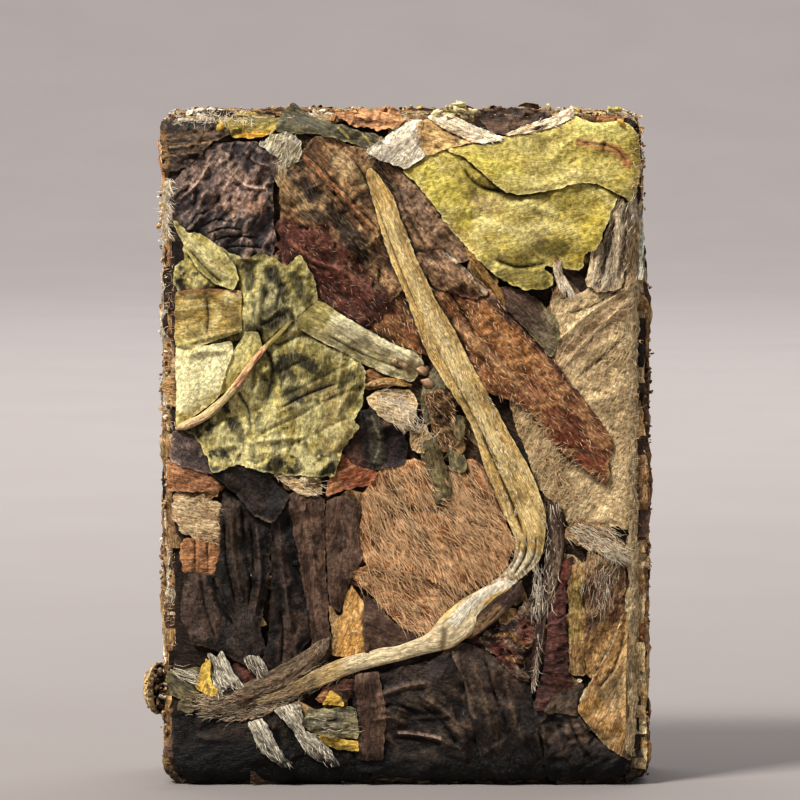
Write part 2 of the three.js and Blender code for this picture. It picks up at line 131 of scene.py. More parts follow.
FINISHES = {
    # Sun-withered young leaf: waxy, smooth, with faint veins
    "yellow": Finish("withered yellow tea leaf", "#CFB95E", "#8A7828", "#EBDD96", 0.5, 0.2, 0.2, grit=0.4),
    "green": Finish("withered green tea leaf", "#B9A75A", "#2B2718", "#E6DA98", 0.55, 0.2, 0.4, 0.05,
        grit=0.4),
    # Oxidised leaf: brown to red, dull, finely haired
    "brown": Finish("oxidised brown tea leaf", "#7E5A3B", "#291B12", "#B28D60", 0.68, 0.35, 0.2, 0.1,
        "#C6A67C", grit=0.6),
    "maroon": Finish("oxidised maroon tea leaf", "#502418", "#26120D", "#74493A", 0.65, 0.35, 0.2, 0.08,
        "#8F6450", grit=0.6),
    "rust": Finish("oxidised rust tea leaf", "#935E38", "#45250F", "#C49260", 0.6, 0.35, 0.2, 0.1,
        "#CBA070", grit=0.5),
    # Thick old leaf: leathery and dark, shining on its wrinkles
    "plum": Finish("leathery dark tea leaf", "#5A473F", "#1E1819", "#B09280", 0.5, 0.25, 0.2, grit=0.6,
        bump_mm=0.1, gloss=0.3),
    "black": Finish("black tea leaf", "#15100D", "#070504", "#423329", 0.5, 0.15, 0.2, 0.02, "#8A7A6C",
        grit=0.5, bump_mm=0.1, gloss=0.18),
    "umber": Finish("dark brown tea leaf", "#291E19", "#0E0A09", "#66523F", 0.52, 0.2, 0.2, 0.02, "#8A7A6C",
        grit=0.5, bump_mm=0.1, gloss=0.2),
    "panel": Finish("dull brown tea leaf", "#4E382B", "#2A1C15", "#745947", 0.65, 0.25, 0.1, 0.05,
        "#9B8068"),
    "slate": Finish("grey green tea leaf", "#4F4833", "#262318", "#8E8158", 0.55, 0.25, 0.3, 0.05),
    # Young leaf under down: matt, soft, with the hairs combed one way
    "tan": Finish("downy tan tea leaf", "#BC9C6C", "#80602F", "#DEC89C", 0.8, 0.45, 0.1, 0.15, "#E4D0AC",
        0.1, grit=0.4),
    "amber": Finish("amber tea leaf", "#AC8049", "#5C4427", "#D0AC78", 0.65, 0.35, 0.3, 0.1, "#DDC298"),
    "golden": Finish("golden downy bud leaf", "#A0683C", "#5E3419", "#CDA070", 0.85, 0.5, 0.0, 0.15,
        "#DDB98A", 0.1),
    "silver": Finish("silver tea bud", "#A2967C", "#5C523F", "#DBD2BC", 0.8, 0.6, 0.0, 0.2, "#E6DECB", 0.1),
    "cream": Finish("cream downy tea leaf", "#DCC8A6", "#A0855D", "#F2E6D0", 0.85, 0.5, 0.0, 0.15,
        "#F5ECDA", 0.1),
    "gold": Finish("yellow bud scale", "#C79A2E", "#75520E", "#DDBB58", 0.6, 0.35, 0.0, 0.08),
    # Sealed bud: hard, brown and shining
    "bead": Finish("closed tea bud", "#A27A56", "#4A2E1F", "#CCA886", 0.3, 0.2, grit=0.2, gloss=0.5),
    # Stalk: dry, straw-like, with long strands
    "straw": Finish("dry straw tea stalk", "#D4AC62", "#A07C42", "#E6CE92", 0.7, 0.4, grit=0.25),
    "petiole": Finish("dry green leaf stalk", "#CCBC86", "#A08F5C", "#E6DAB0", 0.65, 0.35, grit=0.3),
    "bark": Finish("dark fibrous tea stalk", "#463228", "#1E130F", "#937862", 0.65, 0.65, bump_mm=0.09),
    # The pressed inside: broken leaf, hard and crumbly
    "core": Finish("pressed broken tea", "#2E2118", "#120D0A", "#5E4935", 0.8, 0.3, bump_mm=0.15, grit=0.7),
    "crumb": Finish("tea crumbs", "#A97F45", "#6B4A28", "#D9BC88", 0.75, 0.3, bump_mm=0.1, grit=0.6),
}

# Hairs of the down, by colour
DOWN_COLOURS = {
    "silver_down": "#EBDDC4", "golden_down": "#DFB584", "tan_down": "#D2B78A", "brown_down": "#A07A58",
    "grey_down": "#B9A88A",
}


class BrickSizes(bpy.types.PropertyGroup):
    """Sizes of the pressed brick."""

    width: bpy.props.FloatProperty(
        name="Width", description="Of the pressed core, across its broad face", default=0.0234,
        unit="LENGTH"
    )
    height: bpy.props.FloatProperty(
        name="Height", description="Of the pressed core, as it stands", default=0.0329, unit="LENGTH"
    )
    depth: bpy.props.FloatProperty(
        name="Depth", description="Of the pressed core, between broad faces", default=0.0075,
        unit="LENGTH"
    )
    shoulder: bpy.props.FloatProperty(
        name="Shoulder", description="Radius between faces and sides", default=0.0009, unit="LENGTH"
    )
    hair_radius: bpy.props.FloatProperty(
        name="Hair radius", description="Of one hair of the down, drawn thicker than life to show",
        default=0.00001, unit="LENGTH", precision=6,
    )


class BrickColours(bpy.types.PropertyGroup):
    """Base colours of the kinds of dry tea, in linear values."""

    __annotations__ = {
        kind: bpy.props.FloatVectorProperty(
            name=finish.material.capitalize(), description=f"Base colour of the {finish.material}",
            subtype="COLOR", size=3, min=0, max=1, default=linear(finish.base),
        )
        for kind, finish in FINISHES.items()
    }


def size(name):
    """One of the brick's sizes, in millimetres."""
    return getattr(bpy.context.scene.tea_brick_sizes, name) / MM


def base_colour(kind):
    return np.array(getattr(bpy.context.scene.tea_brick_colours, kind))


def light_colour(kind):
    return np.array(linear(FINISHES[kind].light))


def dark_colour(kind):
    return np.array(linear(FINISHES[kind].dark))


# Numbers


def smooth_step(low, high, values):
    share = np.clip((values - low) / (high - low), 0, 1)
    return share * share * (3 - 2 * share)


def blend(colour, other, share):
    """Colours moved towards another by a share for each point."""
    return colour + (np.asarray(other) - colour) * np.asarray(share)[..., None]


def unit(vectors):
    """Vectors brought to a length of one."""
    return vectors / np.maximum(np.linalg.norm(vectors, axis=1), 1e-9)[:, None]


def direction(turn):
    """Cosine and sine of an angle in degrees."""
    return math.cos(math.radians(turn)), math.sin(math.radians(turn))


def set_out(x, z, along, across, turn):
    """Points at distances along and across a direction, from a place on a face."""
    c, s = direction(turn)
    return np.column_stack([x + along * c - across * s, z + along * s + across * c])


def lattice(i, j, seed):
    """A fixed random number from -1 to 1 for each whole i and j."""
    mixed = (i * 374761393 + j * 668265263 + seed * 974634777) & 0xFFFFFFFF
    mixed = ((mixed ^ (mixed >> 13)) * 1274126177) & 0xFFFFFFFF
    return (mixed ^ (mixed >> 16)) / 2147483647.5 - 1


def noise(a, b, seed):
    """Smooth noise from -1 to 1, about one bump for each unit."""
    a, b = np.broadcast_arrays(np.asarray(a, float), np.asarray(b, float))
    i = np.floor(a).astype(np.int64)
    j = np.floor(b).astype(np.int64)
    s = smooth_step(0, 1, a - i)
    t = smooth_step(0, 1, b - j)
    low = lattice(i, j, seed) * (1 - s) + lattice(i + 1, j, seed) * s
    high = lattice(i, j + 1, seed) * (1 - s) + lattice(i + 1, j + 1, seed) * s
    return low * (1 - t) + high * t


def rough_noise(a, b, seed):
    """Noise with finer noise on it, from about -1 to 1."""
    total = 0
    for octave in range(OCTAVES):
        scale = 2**octave
        total = total + noise(a * scale, b * scale, seed + 31 * octave) / scale
    return total / 1.5


def crumple(u, v, seed):
    """Sharp ridges between dents, from about -1 to 1, about one ridge for each unit across the grain."""
    a = u / 1.7 + 0.45 * noise(u / 0.9, v / 0.9, seed + 1)
    b = v + 0.45 * noise(u / 0.9, v / 0.9, seed + 2)
    total = 0
    for octave in range(OCTAVES):
        scale = 2**octave
        total = total + (1 - 2.6 * np.abs(noise(a * scale, b * scale, seed + 13 * octave))) / scale
    return np.clip(total / 1.4, -1.2, 1.2)


def blur(field, spread_mm):
    """A height map smoothed over a distance."""
    reach = int(math.ceil(2.5 * spread_mm / CELL_MM))
    steps = np.arange(-reach, reach + 1)
    weights = np.exp(-0.5 * (steps * CELL_MM / spread_mm) ** 2)
    weights /= weights.sum()
    for axis in (0, 1):
        padded = np.pad(field, [(reach, reach) if k == axis else (0, 0) for k in (0, 1)], mode="edge")
        cells = np.arange(field.shape[axis])
        field = sum(w * np.take(padded, cells + k, axis=axis) for k, w in enumerate(weights))
    return field


def curve(points, step, closed=False, ease=1.0):
    """Points along a curve through given ones, less rounded as ease falls.

    Columns past the second come along. A single point stays as it is.
    """
    p = np.asarray(points, float)
    if len(p) == 1:
        return p
    if closed:
        before, after = np.roll(p, 1, 0), np.roll(p, -1, 0)
    else:
        before = np.vstack([2 * p[0] - p[1], p[:-1]])
        after = np.vstack([p[1:], 2 * p[-1] - p[-2]])
    back = np.linalg.norm((p - before)[:, :2], axis=1)
    ahead = np.linalg.norm((after - p)[:, :2], axis=1)
    chord = np.linalg.norm((after - before)[:, :2], axis=1)
    slope = ease * (after - before) * (np.minimum(back, ahead) / np.maximum(chord, 1e-6))[:, None]
    made = []
    last = len(p) if closed else len(p) - 1
    for i in range(last):
        k = (i + 1) % len(p)
        count = max(1, round(ahead[i] / step))
        t = (np.arange(count) / count)[:, None]
        start = (2 * t**3 - 3 * t**2 + 1) * p[i] + (t**3 - 2 * t**2 + t) * slope[i]
        made.append(start + (3 * t**2 - 2 * t**3) * p[k] + (t**3 - t**2) * slope[k])
    if not closed:
        made.append(p[-1:])
    return np.vstack(made)


def torn(loop, rag, seed):
    """A closed outline with its edge pushed in and out, as torn leaf has."""
    step = np.roll(loop, -1, 0) - np.roll(loop, 1, 0)
    normal = unit(np.column_stack([step[:, 1], -step[:, 0]]))
    x, z = loop.T
    push = rag * sum(noise(x / mm, z / mm, seed + k) for k, mm in enumerate(TEAR_SIZES_MM))
    return loop + normal * push[:, None]


def inside(x, z, loop):
    """Whether each point lies inside a closed outline."""
    held = np.zeros(np.shape(x), bool)
    for (x0, z0), (x1, z1) in zip(loop, np.roll(loop, -1, 0)):
        if z0 != z1:
            crosses = (z0 > z) != (z1 > z)
            held ^= crosses & (x < (x1 - x0) * (z - z0) / (z1 - z0) + x0)
    return held


def from_line(x, z, line):
    """Each point's distance from a line, its side (left is positive) and how far along it is nearest."""
    best = np.full(np.shape(x), np.inf)
    side = np.zeros(np.shape(x))
    along = np.zeros(np.shape(x))
    line = np.asarray(line, float)
    if len(line) == 1:
        return np.hypot(x - line[0, 0], z - line[0, 1]), side, along
    for i, (start, end) in enumerate(zip(line[:-1], line[1:])):
        run = end - start
        share = np.clip(((x - start[0]) * run[0] + (z - start[1]) * run[1]) / max(run @ run, 1e-9), 0, 1)
        away = np.hypot(x - start[0] - share * run[0], z - start[1] - share * run[1])
        nearer = away < best
        best = np.where(nearer, away, best)
        turn = run[0] * (z - start[1]) - run[1] * (x - start[0])
        side = np.where(nearer, np.sign(turn), side)
        along = np.where(nearer, (i + share) / (len(line) - 1), along)
    return best, side, along


# Meshes


@dataclass
class Part:
    """A piece of mesh: points in millimetres, triangles, grain coordinates and colours."""

    points: np.ndarray
    triangles: np.ndarray
    grain: np.ndarray
    tint: np.ndarray


def joined(parts):
    offsets = np.cumsum([0] + [len(part.points) for part in parts[:-1]])
    return Part(
        np.vstack([part.points for part in parts]),
        np.vstack([part.triangles + offset for part, offset in zip(parts, offsets)]),
        np.vstack([part.grain for part in parts]),
        np.vstack([part.tint for part in parts]),
    )


def add_piece(name, parts, kind, sharp_deg=SMOOTH_DEG):
    """One object of the brick from its parts, which rides on the brick's one body."""
    part = joined(parts)
    mesh = bpy.data.meshes.new(name)
    count = len(part.triangles)
    corners = part.triangles.astype(np.int32).ravel()
    mesh.vertices.add(len(part.points))
    mesh.vertices.foreach_set("co", (part.points * MM).astype(np.float32).ravel())
    mesh.loops.add(3 * count)
    mesh.loops.foreach_set("vertex_index", corners)
    mesh.polygons.add(count)
    mesh.polygons.foreach_set("loop_start", np.arange(0, 3 * count, 3, dtype=np.int32))
    mesh.update(calc_edges=True)
    grain = mesh.uv_layers.new(name="grain")
    grain.data.foreach_set("uv", part.grain.astype(np.float32)[corners].ravel())
    tint = mesh.color_attributes.new("tint", "FLOAT_COLOR", "POINT")
    rgba = np.column_stack([np.clip(part.tint, 0, 1), np.ones(len(part.tint))])
    tint.data.foreach_set("color", rgba.astype(np.float32).ravel())
    mesh.validate()
    mesh.shade_smooth()
    mesh.set_sharp_from_angle(angle=math.radians(sharp_deg))
    piece = bpy.data.objects.new(name, mesh)
    bpy.context.collection.objects.link(piece)
    mesh.materials.append(tea_material(kind))
    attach(piece, BODY)
    return piece


def add_pieces(prefix, found, sharp_deg=SMOOTH_DEG):
    """One object for each kind of tea or colour of down among the parts found."""
    for kind, parts in found.items():
        add_piece(f"{prefix}_{kind}", parts, kind, sharp_deg)


def rim_of(triangles):
    """Edges that only one triangle has, in that triangle's direction."""
    edges = np.vstack([triangles[:, [0, 1]], triangles[:, [1, 2]], triangles[:, [2, 0]]])
    keys = np.sort(edges, axis=1)
    order = keys[:, 0].astype(np.int64) * (keys.max() + 1) + keys[:, 1]
    _, index, counts = np.unique(order, return_index=True, return_counts=True)
    return edges[index[counts == 1]]


def crease_points(lines, spacing):
    """Rows of points along crease lines, so that the mesh can bend sharply there."""
    rows = [np.empty((0, 2))]
    for line in lines:
        path = curve(line, spacing)
        way = unit(np.gradient(path, axis=0))
        across = np.column_stack([-way[:, 1], way[:, 0]])
        rows += [path + offset * spacing * across for offset in (-0.9, 0, 0.9)]
    return np.vstack(rows)


def sheet_triangles(loop, spacing, lines=()):
    """Points and triangles that fill an outline evenly, and follow the lines in it."""
    low, high = loop.min(0), loop.max(0)
    rows = np.arange(low[1], high[1], spacing * EVEN_ROWS)
    columns = np.arange(low[0], high[0], spacing)
    x, z = np.meshgrid(columns, rows)
    x = x + (np.arange(len(rows)) % 2)[:, None] * spacing / 2
    x, z = x.ravel(), z.ravel()
    held = inside(x, z, loop)
    x, z = x[held], z[held]
    creases = crease_points(lines, spacing)
    creases = creases[inside(creases[:, 0], creases[:, 1], loop)]
    fixed = np.vstack([loop, creases])
    keep = np.ones(len(x), bool)
    for a, b in fixed:
        keep &= np.hypot(x - a, z - b) > CLEAR_SHARE * spacing
    points = np.vstack([fixed, np.column_stack([x[keep], z[keep]])])
    edges = [(i, (i + 1) % len(loop)) for i in range(len(loop))]
    found = delaunay_2d_cdt([Vector(p) for p in points], edges, [], 1, 1e-4)
    points = np.array([tuple(v) for v in found[0]])
    triangles = np.array(found[2])
    a, b, c = (points[triangles[:, k]] for k in range(3))
    area = (b[:, 0] - a[:, 0]) * (c[:, 1] - a[:, 1]) - (b[:, 1] - a[:, 1]) * (c[:, 0] - a[:, 0])
    triangles[area < 0] = triangles[area < 0][:, ::-1]
    return points, triangles[np.abs(area) > 1e-9]


def loft(rings, grain, tint):
    """A closed body through rings of points, with a point closing each end."""
    count, sides = rings.shape[:2]
    ends = np.vstack([rings[0].mean(0), rings[-1].mean(0)])
    points = np.vstack([rings.reshape(-1, 3), ends])
    i, k = np.meshgrid(np.arange(count - 1), np.arange(sides), indexing="ij")
    a = (i * sides + k).ravel()
    b = (i * sides + (k + 1) % sides).ravel()
    walls = np.vstack([np.column_stack([a, b, a + sides]), np.column_stack([b, b + sides, a + sides])])
    k = np.arange(sides)
    first = count * sides
    start = np.column_stack([np.full(sides, first), (k + 1) % sides, k])
    last = (count - 1) * sides
    end = np.column_stack([np.full(sides, first + 1), last + k, last + (k + 1) % sides])
    grain = np.vstack([grain.reshape(-1, 2), grain[0, :1], grain[-1, :1]])
    tint = np.vstack([tint.reshape(-1, 3), tint[0].mean(0)[None], tint[-1].mean(0)[None]])
    return Part(points, np.vstack([walls, start, end]), grain, tint)


# The two broad faces


@dataclass(frozen=True)
class Leaf:
    """One leaf or chip of a broad face. The outline and lines are x, z points in face coordinates."""

    name: str
    kind: str
    grain: float  # direction of its fibres, in degrees from +x
    outline: tuple
    thick: float = 0.13
    wrinkle: float = 0.06  # height of soft waves
    wrinkle_mm: float = 1.1
    ridged: float = 0.05  # height of sharp wrinkles
    wear_and_light: float = 0.5  # strength of painted highlight on the wrinkles' ridges and painted shade in their dents
    veins: float = 0.0  # height of side veins
    ease: float = 0.4  # how rounded its corners are
    rag: float = 0.04
    curl: float = 0.06
    blotch: float = 0.35  # share of dark in large blotches
    speckle: float = 0.3  # share of dark in small crisp spots
    mottle: float = 0.7
    streak: float = 0.0  # how strongly its fibres show as ridges and stripes
    creases: tuple = ()  # (form, size, width, points...), where form is groove, ridge or step
    strokes: tuple = ()  # (colour, reach, strength, points...)
    down: tuple = ()  # (hairs for each square mm, length, direction, spread, colour)


def rounded(over):
    """How far a surface falls away at a distance into its shoulder."""
    radius = size("shoulder")
    over = np.clip(over, 0, 0.97 * radius)
    return radius - np.sqrt(radius**2 - over**2)


def shoulder_drop(x, height):
    """How far a broad face falls away towards its edges."""
    radius = size("shoulder")
    over_x = np.maximum(np.abs(x) - size("width") / 2 + radius, 0)
    over_z = np.maximum(np.abs(height - size("height") / 2) - size("height") / 2 + radius, 0)
    return rounded(np.hypot(over_x, over_z))


class BroadFace:
    """A broad face as a height map, on which leaves are laid one over the other."""

    def __init__(self, front):
        self.turn = 1 if front else -1
        half = size("width") / 2 + SIDE_LAP_MM
        columns = np.arange(-half, half, CELL_MM)
        rows = np.arange(-LAP_MM, size("height") + LAP_MM, CELL_MM)
        self.x, self.z = np.meshgrid(columns, rows)
        self.base = size("depth") / 2 - shoulder_drop(self.x, self.z + FOOT_MM)
        self.top = self.base + 0.06 * rough_noise(self.x, self.z, 5)
        self.hairs = []

    def at(self, field, x, z):
        """A field of the map read between its cells."""
        a = np.clip((x - self.x[0, 0]) / CELL_MM, 0, self.x.shape[1] - 1.001)
        b = np.clip((z - self.z[0, 0]) / CELL_MM, 0, self.x.shape[0] - 1.001)
        i, j = a.astype(int), b.astype(int)
        s, t = a - i, b - j
        low = field[j, i] * (1 - s) + field[j, i + 1] * s
        return low * (1 - t) + (field[j + 1, i] * (1 - s) + field[j + 1, i + 1] * s) * t

    def placed(self, x, z, out):
        """Points of this face in the brick's own frame, in millimetres."""
        height = np.maximum(z + FOOT_MM, LOWEST_MM)
        return np.column_stack([self.turn * x + SHIFT_X, SHIFT_Y - self.turn * out, height])

    def lay(self, leaf, seed, spacing):
        """Lays one leaf on what is there, and gives its mesh."""
        rng = np.random.default_rng(seed)
        loop = torn(curve(leaf.outline, spacing, closed=True, ease=leaf.ease), leaf.rag, seed)
        low, high = loop.min(0) - LAP_MM, loop.max(0) + LAP_MM
        rows = slice(*np.searchsorted(self.z[:, 0], [low[1], high[1]]))
        columns = slice(*np.searchsorted(self.x[0], [low[0], high[0]]))
        x, z = self.x[rows, columns], self.z[rows, columns]
        under, base = self.top[rows, columns], self.base[rows, columns]
        middle = loop.mean(0)
        relief = self.relief(leaf, x, z, middle, seed)
        margin = from_line(x, z, np.vstack([loop[::3], loop[:1]]))[0]
        lifted = leaf.curl * noise(x / 1.3, z / 1.3, seed + 3) * np.exp(-margin / 0.3)
        thick = leaf.thick * (0.65 + 0.35 * smooth_step(0, 0.4, margin))
        height = blur(under, SAG_MM) + thick + relief + lifted - base
        extra = np.maximum(height - PRESSED_FREE_MM, 0)
        squeezed = PRESSED_MOST_MM * (1 - np.exp(-extra / PRESSED_MOST_MM))
        height = base + np.minimum(height, PRESSED_FREE_MM) + squeezed
        height = np.maximum(height, under + 0.5 * leaf.thick)
        whole = np.array(self.top)
        whole[rows, columns] = height
        covered = inside(x, z, loop)
        under[covered] = height[covered]
        return self.leaf_part(leaf, loop, middle, whole, spacing, seed, rng)

    def relief(self, leaf, x, z, middle, seed):
        """Waves, wrinkles, veins and creases of a leaf, as heights."""
        u, v = grained(x, z, middle, leaf.grain)
        size_mm = leaf.wrinkle_mm
        relief = WAVE_GAIN * leaf.wrinkle * rough_noise(u / (1.6 * size_mm), v / size_mm, seed)
        relief = relief + 0.1 * noise(x / 4.5, z / 4.5, seed + 1)
        relief = relief + leaf.ridged * crumple(u / size_mm, v / size_mm, seed + 2)
        relief = relief + 0.05 * leaf.streak * noise(u / 2.5, v / 0.18, seed + 6)
        if leaf.veins:
            bent = u - 0.75 * np.abs(v) + 0.25 * noise(u / 2, v / 2, seed + 4)
            near = np.abs(bent / VEIN_GAP_MM - np.round(bent / VEIN_GAP_MM)) * VEIN_GAP_MM
            relief = relief - leaf.veins * np.exp(-((near / 0.1) ** 2))
            relief = relief - 1.5 * leaf.veins * np.exp(-((v / 0.14) ** 2))
        for form, height, width, *line in leaf.creases:
            away, side, along = from_line(x, z, curve(line, CREASE_STEP_MM))
            ends = smooth_step(0, 0.15, along) * smooth_step(0, 0.1, 1 - along)
            if form == "step":
                signed = away * side
                raised = 0.5 + 0.5 * np.tanh(signed / width)
                dip = 0.5 * np.exp(-((signed / width + 1.2) ** 2))
                shape = raised * np.exp(-np.maximum(signed, 0) / 2.5) - dip
                relief = relief + height * shape * ends
            else:
                turn = -1 if form == "groove" else 1
                relief = relief + turn * height * np.exp(-((away / width) ** 2)) * (0.3 + 0.7 * ends)
        return relief

    def leaf_part(self, leaf, loop, middle, height, spacing, seed, rng):
        """Mesh of a leaf: its upper side, and a thin wall down from its edge, darkened with painted shade.
        """
        lines = [line for _, _, _, *line in leaf.creases]
        points, triangles = sheet_triangles(loop, spacing, lines)
        x, z = points.T
        top = self.at(height, x, z)
        u, v = grained(x, z, middle, leaf.grain)
        tint = self.leaf_tint(leaf, x, z, u, v, loop, seed)
        rim = rim_of(triangles)
        edge, where = np.unique(rim, return_inverse=True)
        a, b = rim.T
        under_a, under_b = len(points) + where.reshape(rim.shape).T
        walls = np.vstack([np.column_stack([a, under_a, under_b]), np.column_stack([a, under_b, b])])
        lower = self.placed(x[edge], z[edge], top[edge] - 0.9 * leaf.thick)
        grain = np.column_stack([u, v])
        if leaf.down:
            self.sow(loop, height, *leaf.down, rng)
        # The wall down from the edge takes the edge's colour, darkened to 0.4 as painted shade
        return Part(
            np.vstack([self.placed(x, z, top), lower]),
            np.vstack([triangles, walls]),
            np.vstack([grain, grain[edge]]),
            np.vstack([tint, tint[edge] * 0.4]),
        )

    def leaf_tint(self, leaf, x, z, u, v, loop, seed):
        """Colour of a leaf at its points: mottling, blotches, strokes, and painted highlights and shade on
        its wrinkles, margin and creases.
        """
        tint = np.tile(base_colour(leaf.kind), (len(x), 1))
        light, dark = light_colour(leaf.kind), dark_colour(leaf.kind)
        mottle = rough_noise(u / 2.4, v / 0.9, seed + 11)
        tint = blend(tint, light, leaf.mottle * smooth_step(0.1, 0.9, mottle))
        tint = blend(tint, dark, leaf.mottle * smooth_step(0.1, 0.9, -mottle))
        clouds = rough_noise(x / 1.5, z / 1.5, seed + 12)
        frayed = clouds + 0.35 * rough_noise(x / 0.5, z / 0.5, seed + 15)
        tint = blend(tint, dark, leaf.blotch * smooth_step(0.2, 0.45, frayed))
        spots = rough_noise(x / 0.42, z / 0.42, seed + 16) + 0.6 * clouds
        tint = blend(tint, dark, leaf.speckle * smooth_step(0.24, 0.36, spots))
        tint = blend(tint, light, leaf.speckle * smooth_step(0.3, 0.45, -spots))
        if leaf.streak:
            threads = noise(u / 2.4, v / 0.17, seed + 18) + 0.5 * noise(u / 1.1, v / 0.08, seed + 19)
            tint = blend(tint, light, leaf.streak * smooth_step(0, 0.6, threads))
            tint = blend(tint, dark, leaf.streak * smooth_step(0.1, 0.5, -threads))
        # Painted highlight along the leaf's margin, where light catches its edge
        margin = from_line(x, z, np.vstack([loop[::2], loop[:1]]))[0]
        margin = margin + 0.06 * noise(3 * x, 3 * z, seed + 13)
        tint = blend(tint, light, 0.55 * smooth_step(0.09, 0.02, margin))
        swell = 1 + 0.5 * rough_noise(x / 0.8, z / 0.8, seed + 14)
        fringe = 0.3 * rough_noise(x / 0.25, z / 0.25, seed + 17)
        for colour, reach, strength, *line in leaf.strokes:
            away = from_line(x, z, curve(line, STROKE_STEP_MM))[0] / reach * swell + fringe
            tint = blend(tint, linear(colour), strength * smooth_step(1, 0.6, away))
        # Painted highlight on the wrinkles' ridges and painted shade in their dents, following the leaf's
        # relief
        ridges = crumple(u / leaf.wrinkle_mm, v / leaf.wrinkle_mm, seed + 2)
        tint = blend(tint, light, leaf.wear_and_light * smooth_step(0.25, 0.9, ridges))
        tint = blend(tint, dark, leaf.wear_and_light * smooth_step(0.1, 0.9, -ridges))
        # Painted highlight along ridge creases, and painted shade in grooves and on the low side of steps
        for form, _, width, *line in leaf.creases:
            away, side, along = from_line(x, z, curve(line, CREASE_STEP_MM))
            ends = smooth_step(0, 0.1, along) * smooth_step(0, 0.1, 1 - along)
            if form == "ridge":
                tint = blend(tint, light, 0.4 * np.exp(-((away / width) ** 2)) * ends)
            else:
                low_side = away / width if form == "groove" else away * side / width + 0.7
                tint = tint * (1 - 0.8 * np.exp(-(low_side**2)) * ends)[:, None]
        return tint

    def shade(self, parts):
        """Paints shade into the colour of what lies deeper than its surroundings, and of what lies near the
        foot.
        """
        near, wide = blur(self.top, 0.14), blur(self.top, 0.42)
        for part in parts:
            x = self.turn * (part.points[:, 0] - SHIFT_X)
            out = self.turn * (SHIFT_Y - part.points[:, 1])
            z = part.points[:, 2] - FOOT_MM
            # Painted shade where a point lies below the surface around it, close by and further out
            keep = 1 - 0.8 * smooth_step(0.015, 0.09, self.at(near, x, z) - out)
            keep = keep * (1 - 0.65 * smooth_step(0.04, 0.3, self.at(wide, x, z) - out))
            # Painted shade near the foot, where the brick stands in its own shade
            keep = keep * (1 - 0.96 * smooth_step(2, 0.5, z))
            part.tint = part.tint * keep[:, None]

    def tuft(self, line, width, count, length, spread, colour, rng):
        """Notes roots of a bundle of long hairs along a line."""
        path = curve(line, 0.1)
        way = np.gradient(path, axis=0)
        pick = rng.integers(0, len(path), count)
        across = width / 2 * np.clip(rng.normal(0, 0.6, count), -1, 1)
        heading = np.arctan2(way[pick, 1], way[pick, 0])
        x = path[pick, 0] - np.sin(heading) * across
        z = path[pick, 1] + np.cos(heading) * across
        angle = heading + np.radians(spread) * rng.normal(0, 0.6, count)
        height = self.at(self.top, x, z) + rng.uniform(0, 0.12, count)
        self.hairs.append((colour, x, z, height, angle, length * rng.uniform(0.5, 1.3, count)))

    def sow(self, loop, height, rate, length, turn, spread, colour, rng):
        """Notes roots of down over an outline, to be grown when all leaves lie."""
        low, high = loop.min(0), loop.max(0)
        count = int(rate * np.prod(high - low))
        x = rng.uniform(low[0], high[0], count)
        z = rng.uniform(low[1], high[1], count)
        held = inside(x, z, loop)
        x, z = x[held], z[held]
        sway = 14 * noise(x / 1.5, z / 1.5, 77)
        angle = np.radians(turn + spread * rng.normal(size=len(x)) * 0.6 + sway)
        long = length * rng.uniform(0.5, 1.25, len(x))
        self.hairs.append((colour, x, z, self.at(height, x, z), angle, long))

    def stalk(self, run, kind, flat, sink, seed, strokes):
        """A stalk along a line of x, z and width, flattened on to the face, with lengthwise strands."""
        line = curve(run, STALK_STEP_MM)
        x, z, width = line.T
        along = unit(np.gradient(line[:, :2], axis=0))
        run_mm = np.concatenate([[0], np.cumsum(np.hypot(np.diff(x), np.diff(z)))])
        ends = np.minimum(run_mm, run_mm[-1] - run_mm)
        radius = width / 2 * (0.35 + 0.65 * smooth_step(0, 0.5, ends))
        angle = 2 * np.pi * np.arange(STALK_SIDES) / STALK_SIDES
        s, w = np.meshgrid(run_mm, np.cos(angle), indexing="ij")
        w = w * radius[:, None] + 20 * (np.sin(angle) < 0)  # the underside has strands of its own
        strands = noise(s / 3, w / 0.26, seed) + 0.6 * noise(s / 1.4, w / 0.12, seed + 1)
        edge = 1 + 0.1 * noise(s / 0.7, np.sign(np.cos(angle)), seed + 2)
        across = radius[:, None] * edge * np.cos(angle)
        level = self.at(blur(self.top, SAG_MM), x, z) + flat * radius * (1 - sink)
        crown = np.sign(np.sin(angle)) * np.abs(np.sin(angle)) ** 0.4
        out = level[:, None] + flat * radius[:, None] * crown + 0.045 * strands * np.abs(crown)
        px = x[:, None] - along[:, 1:] * across
        pz = z[:, None] + along[:, :1] * across
        tint = np.broadcast_to(base_colour(kind), s.shape + (3,))
        tint = blend(tint, light_colour(kind), 0.55 * smooth_step(0, 0.8, strands))
        tint = blend(tint, dark_colour(kind), 0.6 * smooth_step(0.15, 0.9, -strands))
        for colour, reach, strength, *spots in strokes:
            away = from_line(px, pz, curve(spots, STROKE_STEP_MM))[0]
            tint = blend(tint, linear(colour), strength * smooth_step(1, 0.5, away / reach))
        rings = self.placed(px.ravel(), pz.ravel(), out.ravel()).reshape(s.shape + (3,))
        grain = np.stack([s, radius[:, None] * np.broadcast_to(angle, s.shape)], axis=-1)
        left, right = (np.column_stack([px[:, k], pz[:, k]]) for k in (0, STALK_SIDES // 2))
        covered = inside(self.x, self.z, np.vstack([left, right[::-1]]))
        raised = self.top + 0.8 * flat * float(np.mean(radius))
        self.top = np.where(covered, raised, self.top)
        return loft(rings, grain, tint)

